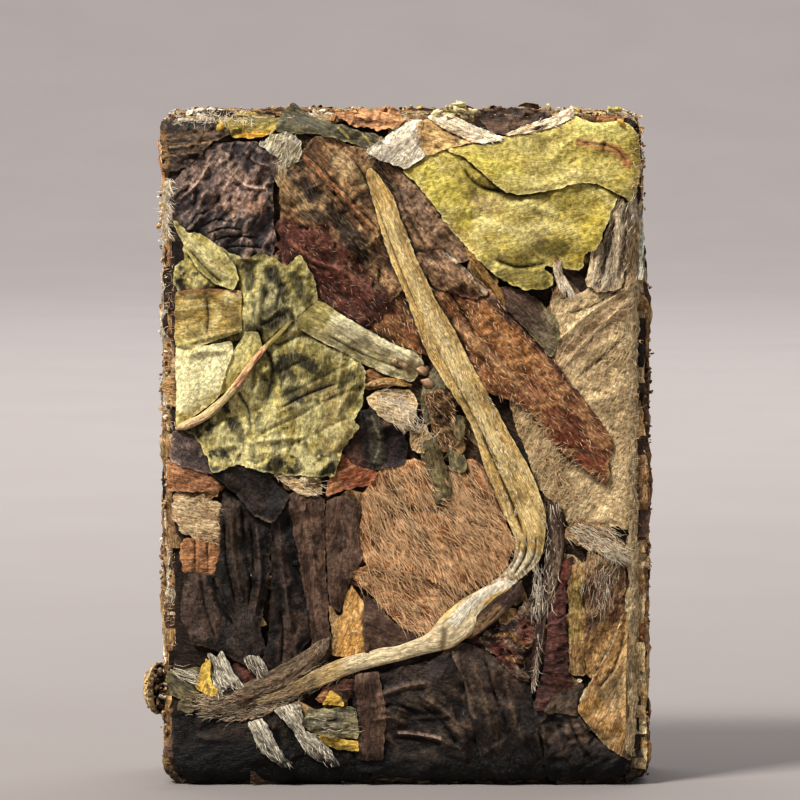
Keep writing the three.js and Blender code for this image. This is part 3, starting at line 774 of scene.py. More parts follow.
    def grow_down(self, seed):
        """Hair meshes by colour, from every root that still lies open."""
        rng = np.random.default_rng(seed)
        grown = {}
        for colour, x, z, height, angle, long in self.hairs:
            open_air = self.at(self.top, x, z) < height + 0.06
            x, z, height, angle, long = (field[open_air] for field in (x, z, height, angle, long))
            bend = rng.normal(0, 0.3, len(x))
            rise = rng.uniform(0.02, 0.16, len(x))
            stations = []
            for share in (0.0, 0.5, 1.0):
                heading = angle + bend * share
                px = x + long * share * np.cos(heading)
                pz = z + long * share * np.sin(heading)
                floor = self.at(self.top, px, pz)
                arch = rise * math.sin(math.pi * min(0.75, share)) - 0.02 * (share == 0)
                stations.append(self.placed(px, pz, np.maximum(height, floor) + arch))
            hairs = hair_part(np.stack(stations, axis=1), colour, rng)
            grown.setdefault(colour, []).append(hairs)
        return grown


def grained(x, z, middle, turn):
    """Coordinates along and across a leaf's fibres."""
    c, s = direction(turn)
    a, b = x - middle[0], z - middle[1]
    return a * c + b * s, b * c - a * s


def hair_part(paths, colour, rng):
    """Hairs as closed three-sided spikes along paths of three points."""
    count = len(paths)
    radius = size("hair_radius")
    along = unit(paths[:, -1] - paths[:, 0])
    first = unit(np.cross(along, [0.3, 0.8, 0.52]))
    second = np.cross(along, first)
    rings = []
    for k, share in enumerate((0.9, 1.0)):
        for turn in (0, 2 * math.pi / 3, 4 * math.pi / 3):
            arm = math.cos(turn) * first + math.sin(turn) * second
            rings.append(paths[:, k] + radius * share * arm)
    points = np.stack(rings + [paths[:, 2]], axis=1)
    shape = [[0, 2, 1]]
    for a, b in ((0, 1), (1, 2), (2, 0)):
        shape += [[a, b, a + 3], [b, b + 3, a + 3], [a + 3, b + 3, 6]]
    triangles = (np.array(shape)[None] + 7 * np.arange(count)[:, None, None]).reshape(-1, 3)
    shade = rng.uniform(0.45, 1.15, count)[:, None, None]
    tint = np.broadcast_to(np.array(linear(DOWN_COLOURS[colour])), (count, 7, 3)) * shade
    points = points.reshape(-1, 3)
    return Part(points, triangles, points[:, [0, 2]], tint.reshape(-1, 3))


FRONT_LEAVES = (
    # The foot leaves' near-black strokes are painted shade at the foot
    Leaf("foot_leaf_left", "black", 8, ((-11.3, 3.2), (-9.6, 3.2), (-7.4, 3), (-6.2, 1.6), (-5.5, 0.5),
        (-6, -0.2), (-10.6, -0.2), (-11.3, 1)), wrinkle=0.1, ridged=0.05,
        strokes=(("#0B0908", 3, 0.7, (-10.6, 1.4), (-6.2, 1)),)),
    Leaf("foot_leaf_middle", "black", 80, ((-6.6, 3.4), (-4.2, 2.8), (-2, 2.6), (-1.8, -0.2), (-6.4, -0.2)),
        wrinkle=0.1, ridged=0.05,
        strokes=(("#0B0908", 3, 0.7, (-6, 1.2), (-2.4, 1)),)),
    Leaf("tan_leaf", "tan", 62, ((7.2, 23.4), (8.2, 23.6), (9.2, 24.2), (10.4, 24.2), (11.2, 24.8),
        (11.4, 20), (11.4, 15), (11.2, 12.4), (9.6, 12.4), (8.1, 12.4), (7.6, 13.4), (6.6, 14.2), (6, 16),
        (5.2, 18.4), (7, 19.8)), wrinkle=0.06, wrinkle_mm=1.2, blotch=0.2, mottle=0.7, speckle=0.3,
        creases=(("ridge", 0.14, 0.1, (7.8, 20.3), (9.4, 22), (11, 23.5)),
        ("groove", 0.14, 0.08, (8.4, 19.6), (9.6, 20.6), (11.2, 22)), ("groove", 0.12, 0.07, (8, 22.8),
        (9.2, 23.2), (10.6, 24)), ("ridge", 0.12, 0.08, (7.4, 21.4), (9, 22.8), (10.8, 24))),
        strokes=(("#FBDDA6", 2.6, 0.85, (9.8, 22), (10.2, 17), (9.9, 13.6)),
        ("#C59A72", 0.5, 0.7, (7.8, 20.4), (9.4, 22.1), (11, 23.6)), ("#97774E", 0.16, 0.5, (8.6, 19.6),
        (9.8, 20.9), (11.2, 22)), ("#A2885E", 1.2, 0.5, (6.2, 17.4), (7, 15), (8, 13.2)),
        ("#B7976A", 0.7, 0.5, (10.6, 18.5), (10.8, 15.5))), down=(48, 0.6, 40, 60, "tan_down")),
    Leaf("left_chips_tan", "tan", -10, ((-11.2, 14.1), (-10, 14.1), (-9, 13.6), (-8.4, 12.8), (-8.4, 11.3),
        (-9.6, 11.6), (-10.8, 12), (-11.3, 13)), wrinkle=0.06, blotch=0.1, speckle=0.15, mottle=0.3,
        rag=0.08,
        strokes=(("#B8966E", 1.6, 0.8, (-10.4, 13), (-9, 12.6)),), down=(20, 0.3, -20, 60, "golden_down")),
    Leaf("left_chips_rust", "rust", 6, ((-10.8, 11.8), (-9.1, 11.4), (-8.9, 10.6), (-9.3, 9.9),
        (-10.8, 10.1)), wrinkle=0.08,
        creases=(("groove", 0.16, 0.05, (-10.2, 11.8), (-10.2, 10)), ("groove", 0.16, 0.05, (-9.6, 11.6),
        (-9.6, 10))),
        strokes=(("#B67E54", 1, 0.75, (-10.4, 11), (-9.2, 10.8)),)),
    Leaf("left_chips_rust", "rust", -12, ((-11.5, 15.6), (-10.4, 15.5), (-9.4, 15), (-8.3, 14.4),
        (-9, 14.1), (-11.5, 14.2)), wrinkle=0.1,
        strokes=(("#9C6A4A", 1.6, 0.6, (-10.8, 15), (-9, 14.6)),)),
    Leaf("left_corner_chip", "plum", -50, ((-11.3, 17.1), (-10.3, 17), (-9.7, 16.2), (-9.3, 15),
        (-10.4, 15.2), (-11.4, 15.7)), ridged=0.06),
    # The plum leaf's narrow pale strokes on its three ridge creases are painted highlights, and its
    # near-black stroke along the right edge is painted shadow in the gap beside it
    Leaf("plum_leaf", "plum", 62, ((-11.4, 29), (-10.6, 29.9), (-9.7, 30.6), (-9.2, 31.1), (-7.6, 31.2),
        (-6, 31), (-6.2, 29.9), (-6.4, 28.6), (-6.2, 26.4), (-6.6, 25.4), (-9, 25.6), (-10.6, 26.6),
        (-11.4, 27.6)), thick=0.2, wrinkle=0.1, ridged=0.1, wrinkle_mm=0.5, blotch=0.75, wear_and_light=0.6,
        mottle=0.6, speckle=0.5,
        creases=(("ridge", 0.16, 0.07, (-8.6, 30.6), (-8.3, 29.6), (-7.6, 29), (-6.6, 28.9)),
        ("ridge", 0.14, 0.07, (-8.3, 29.6), (-8.8, 28.4), (-8.2, 27.4)),
        ("ridge", 0.12, 0.06, (-10.9, 28.4), (-10, 29.2), (-9.4, 30.2)), ("ridge", 0.12, 0.06, (-7.8, 30.8),
        (-7.2, 30.2), (-6.5, 30)), ("groove", 0.14, 0.06, (-10.2, 27.6), (-9.4, 27.9), (-8.9, 28.6)),
        ("groove", 0.14, 0.05, (-9.9, 27), (-9.1, 27.4), (-8.5, 27.3)), ("groove", 0.14, 0.05, (-9.6, 26.7),
        (-8.8, 27), (-7.9, 26.9)), ("groove", 0.14, 0.05, (-9.2, 26.4), (-8.3, 26.6), (-7, 26.5)),
        ("groove", 0.12, 0.05, (-8.8, 26), (-7.8, 26.1), (-6.8, 26))),
        strokes=(("#A5826E", 1.2, 0.5, (-9.3, 29.2), (-8.4, 28.4), (-7.4, 28.9)),
        ("#2B2323", 1.3, 0.8, (-9.6, 26.7), (-6.7, 26.5)), ("#2E2528", 0.6, 0.7, (-11.2, 28.6),
        (-10.2, 27.4)), ("#33292A", 0.6, 0.65, (-9, 30.9), (-6.5, 30.8)),
        ("#3A2E31", 0.7, 0.6, (-9.8, 28.6), (-9.2, 29.6)), ("#B5967F", 0.14, 0.85, (-8.6, 30.6),
        (-8.3, 29.6), (-7.6, 29), (-6.6, 28.9)), ("#AB8D76", 0.12, 0.8, (-8.3, 29.6), (-8.8, 28.4),
        (-8.2, 27.4)), ("#A4866F", 0.1, 0.8, (-10.9, 28.4), (-10, 29.2), (-9.4, 30.2)),
        ("#9A6E50", 0.35, 0.6, (-8, 28.2), (-7, 28)), ("#17120F", 0.16, 0.9, (-6.3, 30), (-6.5, 28.4),
        (-6.3, 26.4)))),
    Leaf("rust_leaf", "rust", -44, ((0, 25.6), (1.6, 25.4), (3.4, 24.6), (4.6, 23.6), (5.6, 22.6), (7, 21),
        (8.4, 19.2), (9.6, 17.6), (10.25, 16.4), (10, 15.4), (9.95, 14.6), (9, 15.2), (8, 15.9), (7, 16.8),
        (6.2, 18), (5.2, 18.6), (3.6, 19.2), (1.6, 20.6), (-0.6, 21.4), (-2.4, 22.6)), thick=0.22,
        wrinkle=0.1, wrinkle_mm=1, ridged=0.05, veins=0.04, blotch=0.25, speckle=0.35,
        creases=(("ridge", 0.14, 0.14, (2.6, 22.2), (4.4, 20.4), (6.4, 18.6)),
        ("groove", 0.14, 0.07, (5, 23), (7, 20.8), (8.8, 18.4)), ("ridge", 0.12, 0.1, (4.6, 22), (6.4, 20),
        (8, 18)), ("groove", 0.12, 0.07, (1.4, 24.8), (2.6, 23.4), (3.6, 21.6))),
        strokes=(("#5A352A", 0.5, 0.85, (4.9, 23.2), (7.2, 20.7), (9, 18.3), (10.1, 16.5)),
        ("#3A2A2A", 0.4, 0.8, (4.4, 23.6), (5.2, 22.6)), ("#8A3A24", 0.75, 0.75, (8, 16.4), (9.4, 15.6)),
        ("#BF9266", 0.3, 0.65, (2.8, 22.2), (4.6, 20.4), (6.6, 18.5)), ("#A56C38", 0.8, 0.6, (4.2, 22.4),
        (5.8, 20.6)), ("#5E2C1A", 1.5, 0.65, (6.6, 18.8), (9.2, 16.4)), ("#5A2C1B", 0.8, 0.7, (8.2, 18.2),
        (9.8, 16.4)), ("#6E4A30", 0.9, 0.5, (0.4, 23.6), (-0.8, 22.4))),
        down=(9, 0.35, -50, 25, "golden_down")),
    Leaf("rust_leaf", "rust", -34, ((7.7, 16.1), (8.5, 16.25), (9.2, 16), (9.95, 14.55), (9, 15.1)),
        thick=0.2, rag=0.01, wrinkle=0.04, ridged=0.03, blotch=0.1, speckle=0.1, curl=0.02,
        strokes=(("#6A2416", 0.9, 0.85, (8.2, 16), (9.4, 15.2)), ("#2A0F0B", 0.2, 0.9, (7.9, 16),
        (8.6, 16.2), (9.2, 15.9)))),
    Leaf("brown_leaf", "brown", -47, ((-6, 29.2), (-5.2, 30.4), (-4.5, 31.3), (-3.8, 31.5), (-2.4, 31),
        (-0.6, 30.3), (0.2, 29.7), (1.2, 28.4), (2.6, 26.6), (3.3, 25.5), (2.6, 25.2), (1.4, 25.9),
        (0.2, 24.4), (-0.8, 23.2), (-2, 22), (-4.6, 22.4), (-5.9, 25), (-6, 27.4)), thick=0.18,
        wrinkle=0.12, wrinkle_mm=1, veins=0.05, blotch=0.7, speckle=0.55,
        creases=(("ridge", 0.22, 0.07, (-5.1, 30.7), (-3.2, 28.8), (-1.4, 26.8)),
        ("groove", 0.2, 0.05, (-4.95, 30.85), (-3.05, 28.97), (-1.25, 26.97)),
        ("groove", 0.2, 0.05, (-5.25, 30.55), (-3.35, 28.63), (-1.55, 26.63)),
        ("groove", 0.14, 0.08, (-0.4, 29.4), (0.2, 27.6), (1.2, 25.9)), ("ridge", 0.16, 0.12, (-5.6, 26.4),
        (-4.4, 25.4), (-3, 24.9), (-1.6, 23.6)), ("groove", 0.14, 0.08, (-5.4, 27.2), (-4.2, 26.6),
        (-2.6, 25.2)), ("groove", 0.14, 0.08, (-2.6, 30.6), (-1.6, 29), (-0.8, 27)),
        ("ridge", 0.16, 0.1, (1, 28.2), (2, 26.8), (2.9, 25.6))),
        strokes=(("#9A5A38", 0.12, 0.9, (-5.1, 30.7), (-3.2, 28.8), (-1.4, 26.8)),
        ("#4A231A", 1.9, 0.85, (-5.2, 26), (-3.8, 24.4), (-2.2, 22.8)), ("#5E3428", 0.8, 0.6, (-4.2, 26.4),
        (-2.2, 24.6)), ("#A08068", 1.1, 0.65, (0.6, 28.6), (1.2, 27), (2.4, 26)),
        ("#A98E66", 0.5, 0.7, (-5.4, 28.8), (-4.4, 27.8)), ("#B0966C", 0.5, 0.7, (-3.2, 30.4),
        (-1.9, 29.4)), ("#9C8460", 0.5, 0.6, (-0.8, 28), (-0.4, 26)), ("#1F1713", 0.55, 0.9, (-4.4, 28.5),
        (-3.2, 27.3), (-1.7, 25.7)), ("#241A15", 0.5, 0.8, (-5.4, 29.4), (-4.6, 28.9)),
        ("#2A1F19", 0.5, 0.75, (-1.4, 30.1), (-0.9, 28.8)), ("#2A1D18", 0.4, 0.75, (-4.9, 27.6),
        (-3.8, 27.4)), ("#7C4A38", 0.14, 0.8, (-5.5, 26.4), (-4.4, 25.4), (-3, 24.9), (-1.6, 23.6)))),
    Leaf("brown_leaf_lower", "maroon", -47, ((-5.9, 27.3), (-5, 27.1), (-4, 26.9), (-2.6, 25.6),
        (-1.2, 24.2), (-0.4, 23.6), (-0.9, 22.9), (-2, 22), (-4.6, 22.4), (-5.9, 25)), thick=0.03,
        wrinkle=0.1, wrinkle_mm=0.8, rag=0.2, speckle=0.5,
        creases=(("ridge", 0.14, 0.1, (-5.6, 26.4), (-4.4, 25.4), (-3, 24.9), (-1.6, 23.6)),
        ("groove", 0.14, 0.08, (-5.4, 25.4), (-4.2, 24.4), (-2.6, 23.6))),
        strokes=(("#7C4A38", 0.12, 0.8, (-5.5, 26.4), (-4.4, 25.4), (-3, 24.9), (-1.6, 23.6)),
        ("#6E4A38", 0.5, 0.6, (-3.4, 25.8), (-2.2, 24.6))), down=(10, 0.3, -40, 40, "brown_down")),
    # The folded flap's dark stroke on its lower part is painted shadow under the fold
    Leaf("folded_flap", "brown", -47, ((0.5, 25.7), (1.2, 25.95), (1.95, 25.9), (2.75, 25.25), (3.5, 24.45),
        (4, 23.85), (3.3, 23.55), (2.3, 23.9), (1.3, 24.4), (0.65, 25)), thick=0.26, wrinkle=0.12,
        wrinkle_mm=0.7, ridged=0.1, rag=0.06,
        creases=(("ridge", 0.2, 0.2, (1, 25.4), (2.2, 25), (3.6, 24)),),
        strokes=(("#57352A", 0.5, 0.8, (0.7, 25), (2, 24.1), (3.4, 23.5)),
        ("#8E6C58", 0.5, 0.7, (1.2, 25.6), (3, 24.6)), ("#CDB99C", 0.09, 0.9, (1.9, 25.85), (2.75, 25.2),
        (3.5, 24.4), (3.95, 23.9)))),
    Leaf("gap_leaf", "slate", -40, ((4.7, 24.1), (5.6, 24), (6.4, 23.7), (6.9, 23.2), (7.5, 22.6),
        (7.6, 21.6), (7.2, 20.8), (6.4, 21.6), (5.2, 22.9)), wrinkle=0.1, ridged=0.05,
        strokes=(("#553A30", 0.9, 0.85, (5, 23.6), (6, 22.8)), ("#6E5C48", 0.5, 0.7, (6.7, 22.4),
        (7.1, 21.4)), ("#3A1F1A", 0.3, 0.8, (6.6, 23.4)))),
    Leaf("silver_stalk", "tan", 76, ((10.2, 28.4), (10.7, 28.4), (11, 27.4), (10.9, 26.2), (10.8, 25),
        (10.6, 24.1), (10, 23.9), (9.4, 23.9), (8.9, 24.2), (9, 25), (9.2, 25.7), (9.7, 26.4), (10, 27.4)),
        thick=0.26, wrinkle=0.06, blotch=0.4, streak=0.6,
        creases=(("groove", 0.2, 0.1, (10.3, 27.4), (10, 26), (9.7, 24.6)),
        ("ridge", 0.16, 0.2, (10.6, 27.6), (10.5, 26), (10.2, 24.6))),
        strokes=(("#8C7663", 0.9, 0.75, (10.5, 28), (10.2, 26), (9.8, 24.4)),
        ("#5A4436", 0.2, 0.8, (10.5, 28), (10.8, 26.6), (10.6, 25)), ("#3A2E26", 0.1, 0.85, (10, 26.8),
        (9.55, 24.1)), ("#42342A", 0.08, 0.85, (10.25, 27.4), (10.05, 24.1)),
        ("#E0D2B8", 0.08, 0.8, (10.15, 27), (9.8, 24.1)), ("#E0D2B8", 0.08, 0.8, (10.5, 27.6),
        (10.35, 24.2)), ("#E0D2B8", 0.07, 0.8, (9.45, 25.6), (9.2, 24.2))),
        down=(10, 0.5, 72, 8, "silver_down")),
    # The narrow pale strokes along the folds of the first three black leaves are painted highlights
    Leaf("black_leaf", "black", 96, ((-10.7, 10.1), (-9.2, 10), (-8.9, 9.2), (-8.5, 8.2), (-7.6, 7.2),
        (-7.2, 6.1), (-7.6, 5.5), (-8.6, 6), (-9.4, 6.4), (-10.4, 6.6), (-10.9, 8)), thick=0.16,
        wrinkle=0.08, ridged=0.05,
        creases=(("groove", 0.16, 0.07, (-9.9, 9.9), (-9.7, 8.4), (-9.2, 6.8)),
        ("groove", 0.16, 0.08, (-9.3, 10), (-9, 8.4), (-8.2, 7.4))),
        strokes=(("#574A44", 0.07, 0.75, (-9.9, 9.6), (-9.6, 8.2), (-9.1, 6.9)),
        ("#6A5448", 1.1, 0.75, (-10.2, 9.2), (-10, 7.6)), ("#453A35", 0.5, 0.6, (-8.6, 7.4), (-8, 6.4)))),
    Leaf("black_leaf", "black", 98, ((-8.8, 14), (-7.2, 13.4), (-6.5, 12.8), (-6.5, 10), (-7, 7.6),
        (-6.6, 6), (-7.4, 5.2), (-8, 6.6), (-8.6, 8.4), (-9.3, 10), (-9, 11.2)), thick=0.2, wrinkle=0.08,
        ridged=0.05, wrinkle_mm=0.9, speckle=0.5,
        creases=(("groove", 0.18, 0.08, (-7.9, 13.4), (-7.7, 11), (-7.3, 9.2)),
        ("ridge", 0.16, 0.12, (-8.4, 13.2), (-8.3, 11), (-7.9, 8.8)), ("ridge", 0.14, 0.12, (-7.2, 12.4),
        (-7, 10), (-7.3, 8)), ("groove", 0.14, 0.05, (-8.75, 12.6), (-8.65, 10.6), (-8.2, 8.6)),
        ("groove", 0.12, 0.05, (-7.5, 12.8), (-7.35, 10.6), (-7.6, 8.4))),
        strokes=(("#5C4E46", 0.07, 0.75, (-8.4, 13), (-8.3, 11), (-7.9, 8.8)),
        ("#574A44", 0.07, 0.75, (-7.2, 12.4), (-7, 10), (-7.3, 8)), ("#4A3A2E", 0.5, 0.7, (-8.4, 13.4),
        (-8.3, 11)), ("#3A322E", 0.6, 0.6, (-7.8, 8), (-7.3, 6.4)))),
    Leaf("black_leaf", "black", 100, ((-6.5, 13.2), (-5.7, 13.8), (-5.2, 12), (-4.75, 9.8), (-4.3, 8.2),
        (-4.5, 7), (-5.2, 6), (-6.2, 4.8), (-7, 5.4), (-6.6, 7), (-6.5, 9)), thick=0.24, wrinkle=0.08,
        ridged=0.06, wrinkle_mm=0.9, speckle=0.5,
        creases=(("groove", 0.2, 0.1, (-5.7, 13), (-5.3, 10.4), (-4.7, 8.4)),
        ("ridge", 0.18, 0.12, (-6.1, 12.6), (-5.8, 9.6), (-5.4, 7)), ("groove", 0.14, 0.07, (-6, 8.4),
        (-5.9, 7), (-6, 5.6))),
        strokes=(("#5C4E48", 0.07, 0.75, (-6.1, 12.6), (-5.8, 9.6), (-5.4, 7)),
        ("#46362E", 0.3, 0.7, (-6.1, 12), (-5.8, 9.6)), ("#58443A", 0.6, 0.7, (-5.4, 7.6), (-5.8, 6)))),
    Leaf("black_leaf", "black", -40, ((-9.4, 15.1), (-8.7, 15.7), (-7.3, 15.5), (-6.3, 14.6), (-5.6, 13.9),
        (-6, 13), (-6.5, 12.6), (-7.2, 12.9), (-8.1, 13.9)), thick=0.3, wrinkle=0.1, ridged=0.04,
        creases=(("ridge", 0.16, 0.3, (-8.8, 14.9), (-7.6, 14.1), (-6.6, 13.2)),),
        strokes=(("#1C1817", 0.8, 0.7, (-7.8, 14.7), (-6.8, 13.8)), ("#6A5A48", 0.08, 0.7, (-7.2, 12.9),
        (-6.5, 12.65)))),
    Leaf("brown_panel_left", "panel", 92, ((-5.6, 14), (-4.4, 14.2), (-3.85, 13.6), (-3.8, 10),
        (-3.65, 7.6), (-3.4, 6.2), (-4.4, 5.6), (-4.6, 7.6), (-4.9, 9.6), (-5.3, 11.6)), wrinkle=0.05,
        blotch=0.2,
        strokes=(("#7A5E4C", 0.2, 0.6, (-4.9, 13.6), (-4.5, 10.6), (-4.1, 7.2)),)),
    Leaf("brown_panel_right", "panel", 86, ((-3.8, 13.6), (-2.9, 13.9), (-2.2, 13.4), (-1.8, 12.3),
        (-2, 10.8), (-2.6, 9.8), (-3.1, 8.2), (-3.6, 8.6), (-3.75, 10.4)), thick=0.2, wrinkle=0.05,
        blotch=0.2, rag=0.02,
        strokes=(("#6E5545", 0.35, 0.6, (-2.8, 13.2), (-2.7, 10.4)),)),
    Leaf("amber_chips", "amber", 70, ((-2.6, 9.5), (-2, 8.8), (-1.7, 7.4), (-1.75, 6.2), (-3.4, 6),
        (-3.5, 7.2), (-3.65, 8.5), (-3.1, 8)), wrinkle=0.07, blotch=0.2,
        strokes=(("#DEA457", 1, 0.8, (-2.6, 8.6), (-2.4, 6.8)),)),
    Leaf("dark_chips", "panel", -20, ((-2, 9), (-1.3, 8.7), (-0.4, 7.6), (0.6, 7.2), (1.4, 6.9), (0.2, 6.2),
        (-1.8, 5.9)), wrinkle=0.08),
    Leaf("golden_leaf_low", "golden", -14, ((-2.5, 10), (-1.8, 10.5), (0.2, 10.2), (2.4, 9.8), (3.4, 9.2),
        (2.4, 8.3), (1.5, 7.2), (0.2, 7.3), (-0.7, 8), (-1.6, 9)), wrinkle=0.07,
        down=(46, 0.8, -55, 14, "golden_down")),
    Leaf("golden_leaf", "golden", -58, ((-2, 13.9), (-1, 15.3), (0.5, 15.7), (2.2, 15.4), (3.4, 15.7),
        (4.2, 15), (4.9, 13.2), (5.4, 11.4), (4.8, 10.2), (3.2, 9.2), (1.2, 9.8), (-1.8, 10.3), (-2.1, 12)),
        thick=0.2, wrinkle=0.07, wrinkle_mm=0.8, blotch=0.2,
        creases=(("groove", 0.14, 0.1, (-0.7, 13.2), (1.2, 13.2), (2.6, 12.9), (4.2, 12.2)),
        ("groove", 0.12, 0.2, (-0.8, 14.6), (0.4, 12.6), (1.6, 10.4)), ("ridge", 0.1, 0.3, (1.8, 15),
        (2.8, 12.8), (3.6, 10.4))),
        strokes=(("#5E3C22", 0.14, 0.8, (-0.7, 13.2), (1.2, 13.2), (2.6, 12.9), (4.2, 12.2)),
        ("#6E4526", 0.25, 0.6, (-1.9, 10.3), (0.8, 9.9), (3.4, 9.3)), ("#7C5432", 0.5, 0.45, (-0.6, 14.4),
        (0.6, 12.4), (1.8, 10.4)), ("#B78E62", 0.8, 0.5, (2.2, 14.6), (3.2, 12.4)),
        ("#CFA677", 0.5, 0.55, (-1.2, 12.6), (0, 11)), ("#6E4526", 0.35, 0.6, (-1.4, 13.9), (-0.8, 12.9)),
        ("#C99E70", 0.45, 0.55, (1.2, 12), (2.4, 10.4)), ("#70482A", 0.35, 0.55, (3.2, 14.9), (4, 13.2)),
        ("#74492A", 0.3, 0.55, (0.4, 15), (1.2, 13.6))), down=(42, 0.85, -58, 22, "golden_down")),
    # The narrow pale strokes along the ridges of the first two low leaves are painted highlights
    Leaf("low_leaf", "umber", -20, ((-2.4, 4.8), (-0.4, 5.4), (1.4, 5.8), (2.3, 6.4), (2.7, 5.8),
        (3.1, 4.8), (3.5, 3), (4, 1), (4.1, -0.2), (1, -0.2), (-2.2, 0.4), (-2.4, 2.6)), thick=0.16,
        wrinkle=0.12, ridged=0.09, wrinkle_mm=1.1, speckle=0.3, mottle=0.4,
        creases=(("ridge", 0.22, 0.09, (-0.4, 2.2), (0.6, 2.15), (1.8, 1.9), (2.4, 1.5)),
        ("groove", 0.16, 0.08, (-0.4, 1.95), (0.6, 1.9), (1.8, 1.65)), ("ridge", 0.2, 0.12, (1, 4),
        (2.3, 3), (3.1, 1.6)), ("groove", 0.16, 0.09, (0.9, 3.6), (2, 2.6), (2.7, 1.5)),
        ("ridge", 0.18, 0.14, (-1.4, 4), (0, 4.5), (1.2, 4.7)), ("groove", 0.16, 0.09, (-1.4, 3.4),
        (-0.4, 3.6), (0.6, 3.2)), ("ridge", 0.16, 0.12, (-1.6, 2.8), (-0.6, 3), (0.2, 2.6))),
        strokes=(("#1B1412", 4, 0.85, (-1, 3), (3, 2.5)), ("#8A7466", 0.1, 0.9, (-0.2, 2.22), (0.8, 2.14),
        (1.8, 1.92)), ("#5C4A42", 0.16, 0.7, (1, 4.05), (2.3, 3.05), (3, 1.8)),
        ("#4A3A34", 0.8, 0.5, (0, 5), (1.6, 5)), ("#584640", 0.14, 0.7, (-1.4, 4), (0, 4.5), (1.2, 4.7)))),
    Leaf("low_leaf", "umber", -62, ((2.3, 6.3), (3, 6.7), (4.2, 6.1), (5.9, 5.1), (6.3, 4.2), (6.5, 3.2),
        (7, 1.6), (7.4, 0.2), (6, -0.2), (3.9, -0.2), (3.8, 1), (3.3, 3), (2.9, 4.8)), thick=0.24,
        wrinkle=0.1, ridged=0.07, wrinkle_mm=1, speckle=0.3, mottle=0.4,
        creases=(("ridge", 0.14, 0.08, (2.45, 6.2), (3, 4.8), (3.5, 3)), ("groove", 0.14, 0.08, (4, 6),
        (4.4, 4.4), (5.2, 2.4)), ("ridge", 0.14, 0.14, (3.4, 5.8), (4, 4), (4.4, 2)),
        ("ridge", 0.12, 0.12, (5, 5), (5.4, 3.4), (5.9, 1.6))),
        strokes=(("#1B1412", 3, 0.85, (4.4, 5), (5.4, 1)), ("#4C3B31", 1.2, 0.75, (3.4, 5.8), (5, 4.4)),
        ("#30241E", 1, 0.6, (4.6, 2.8)), ("#7A6252", 0.08, 0.8, (2.45, 6.2), (3, 4.8), (3.5, 3)))),
    Leaf("low_leaf", "umber", 30, ((6.4, 3.8), (8.5, 3.2), (9.2, 2.2), (10.2, 1.4), (11.2, 0.8), (10.6, 0),
        (7.2, -0.2), (6.9, 1.6)), thick=0.16, wrinkle=0.12, ridged=0.08, wrinkle_mm=0.8, speckle=0.3,
        mottle=0.4,
        creases=(("groove", 0.14, 0.08, (8, 3.2), (8.6, 1.8), (9.4, 0.6)), ("ridge", 0.14, 0.1, (7.4, 2.8),
        (7.8, 1.4), (8.4, 0.4))),
        strokes=(("#1B1412", 3, 0.8, (7.5, 2.4), (9.6, 1)), ("#6A5442", 0.4, 0.7, (8.2, 2.6), (8.8, 1.9)),
        ("#4A3B33", 0.4, 0.6, (7.2, 2.4), (7.6, 1.2)))),
    Leaf("dark_chips", "panel", 85, ((-2.4, 5), (-1.2, 5.2), (-0.9, 3.2), (-1, 1), (-2.2, 1), (-2.2, 3)),
        wrinkle=0.05),
    Leaf("garnet_chips", "bark", -50, ((3.6, 6.8), (4.6, 7.6), (5.4, 8), (6, 8.8), (6.6, 8.6), (6.5, 6),
        (6.2, 4.8), (5.2, 5.3), (4.2, 6.1)), wrinkle=0.16, wrinkle_mm=0.45, ridged=0.16, speckle=0.7,
        blotch=0.5, rag=0.1,
        strokes=(("#5E261C", 0.5, 0.8, (4.6, 6.4), (5.4, 5.8)), ("#6E3022", 0.3, 0.8, (6, 7.6), (6.1, 6.6)),
        ("#9A6B34", 0.12, 0.8, (4.4, 7), (5.2, 7.1), (5.9, 6.6)), ("#B98E52", 0.1, 0.8, (5.1, 5.9),
        (5.8, 5.7))), down=(10, 0.3, 20, 60, "brown_down")),
    Leaf("maroon_strip", "maroon", -6, ((7.6, 10.4), (8.3, 10.9), (8, 9.8), (7.95, 7.6), (8.15, 5.8),
        (8.2, 4.6), (7.2, 3.4), (6.5, 3.4), (6.5, 4.2), (6.9, 5.6), (7.05, 7.6), (7.3, 9.4)), thick=0.22,
        wrinkle=0.05, wrinkle_mm=0.5, ridged=0.06, wear_and_light=0.3, mottle=0.3, blotch=0.2, rag=0.02,
        strokes=(("#54302A", 1.2, 0.85, (7.7, 9.6), (7.5, 6.6), (7.2, 4)),
        ("#2C1613", 1.1, 0.75, (7.5, 5.4), (7.1, 4.2), (6.9, 3.5)), ("#6B3226", 0.3, 0.8, (8, 10.6),
        (7.7, 9.6)), ("#1E0F0C", 0.1, 0.8, (8, 9.6), (8, 7), (8.2, 5)))),
    Leaf("low_chip", "umber", 40, ((6.9, 3.3), (7.3, 4), (8, 4.35), (8.8, 4.6), (8.8, 3.9), (8.5, 3.1),
        (7.6, 3.2)), wrinkle=0.06),
    Leaf("amber_chips", "amber", 88, ((8.1, 10.4), (9, 10.6), (9.1, 9), (8.95, 7.4), (9.1, 5.8), (8.8, 5),
        (8.15, 5.3), (8.05, 8)), wrinkle=0.07, blotch=0.5,
        strokes=(("#8A7A3E", 0.4, 0.6, (8.5, 9.6), (8.4, 7)),)),
    Leaf("right_downy_chip", "brown", 70, ((9, 11.1), (10, 11.4), (10.8, 10.8), (10.95, 8.2), (10.5, 7),
        (9.9, 6), (9.2, 4.9), (8.9, 5.2), (8.9, 9.2)), wrinkle=0.1, wrinkle_mm=0.7, speckle=0.5,
        strokes=(("#5A3024", 0.8, 0.8, (9.6, 9.4), (10.2, 8.2)), ("#B58A54", 0.9, 0.85, (10, 7),
        (9.3, 5.6)))),
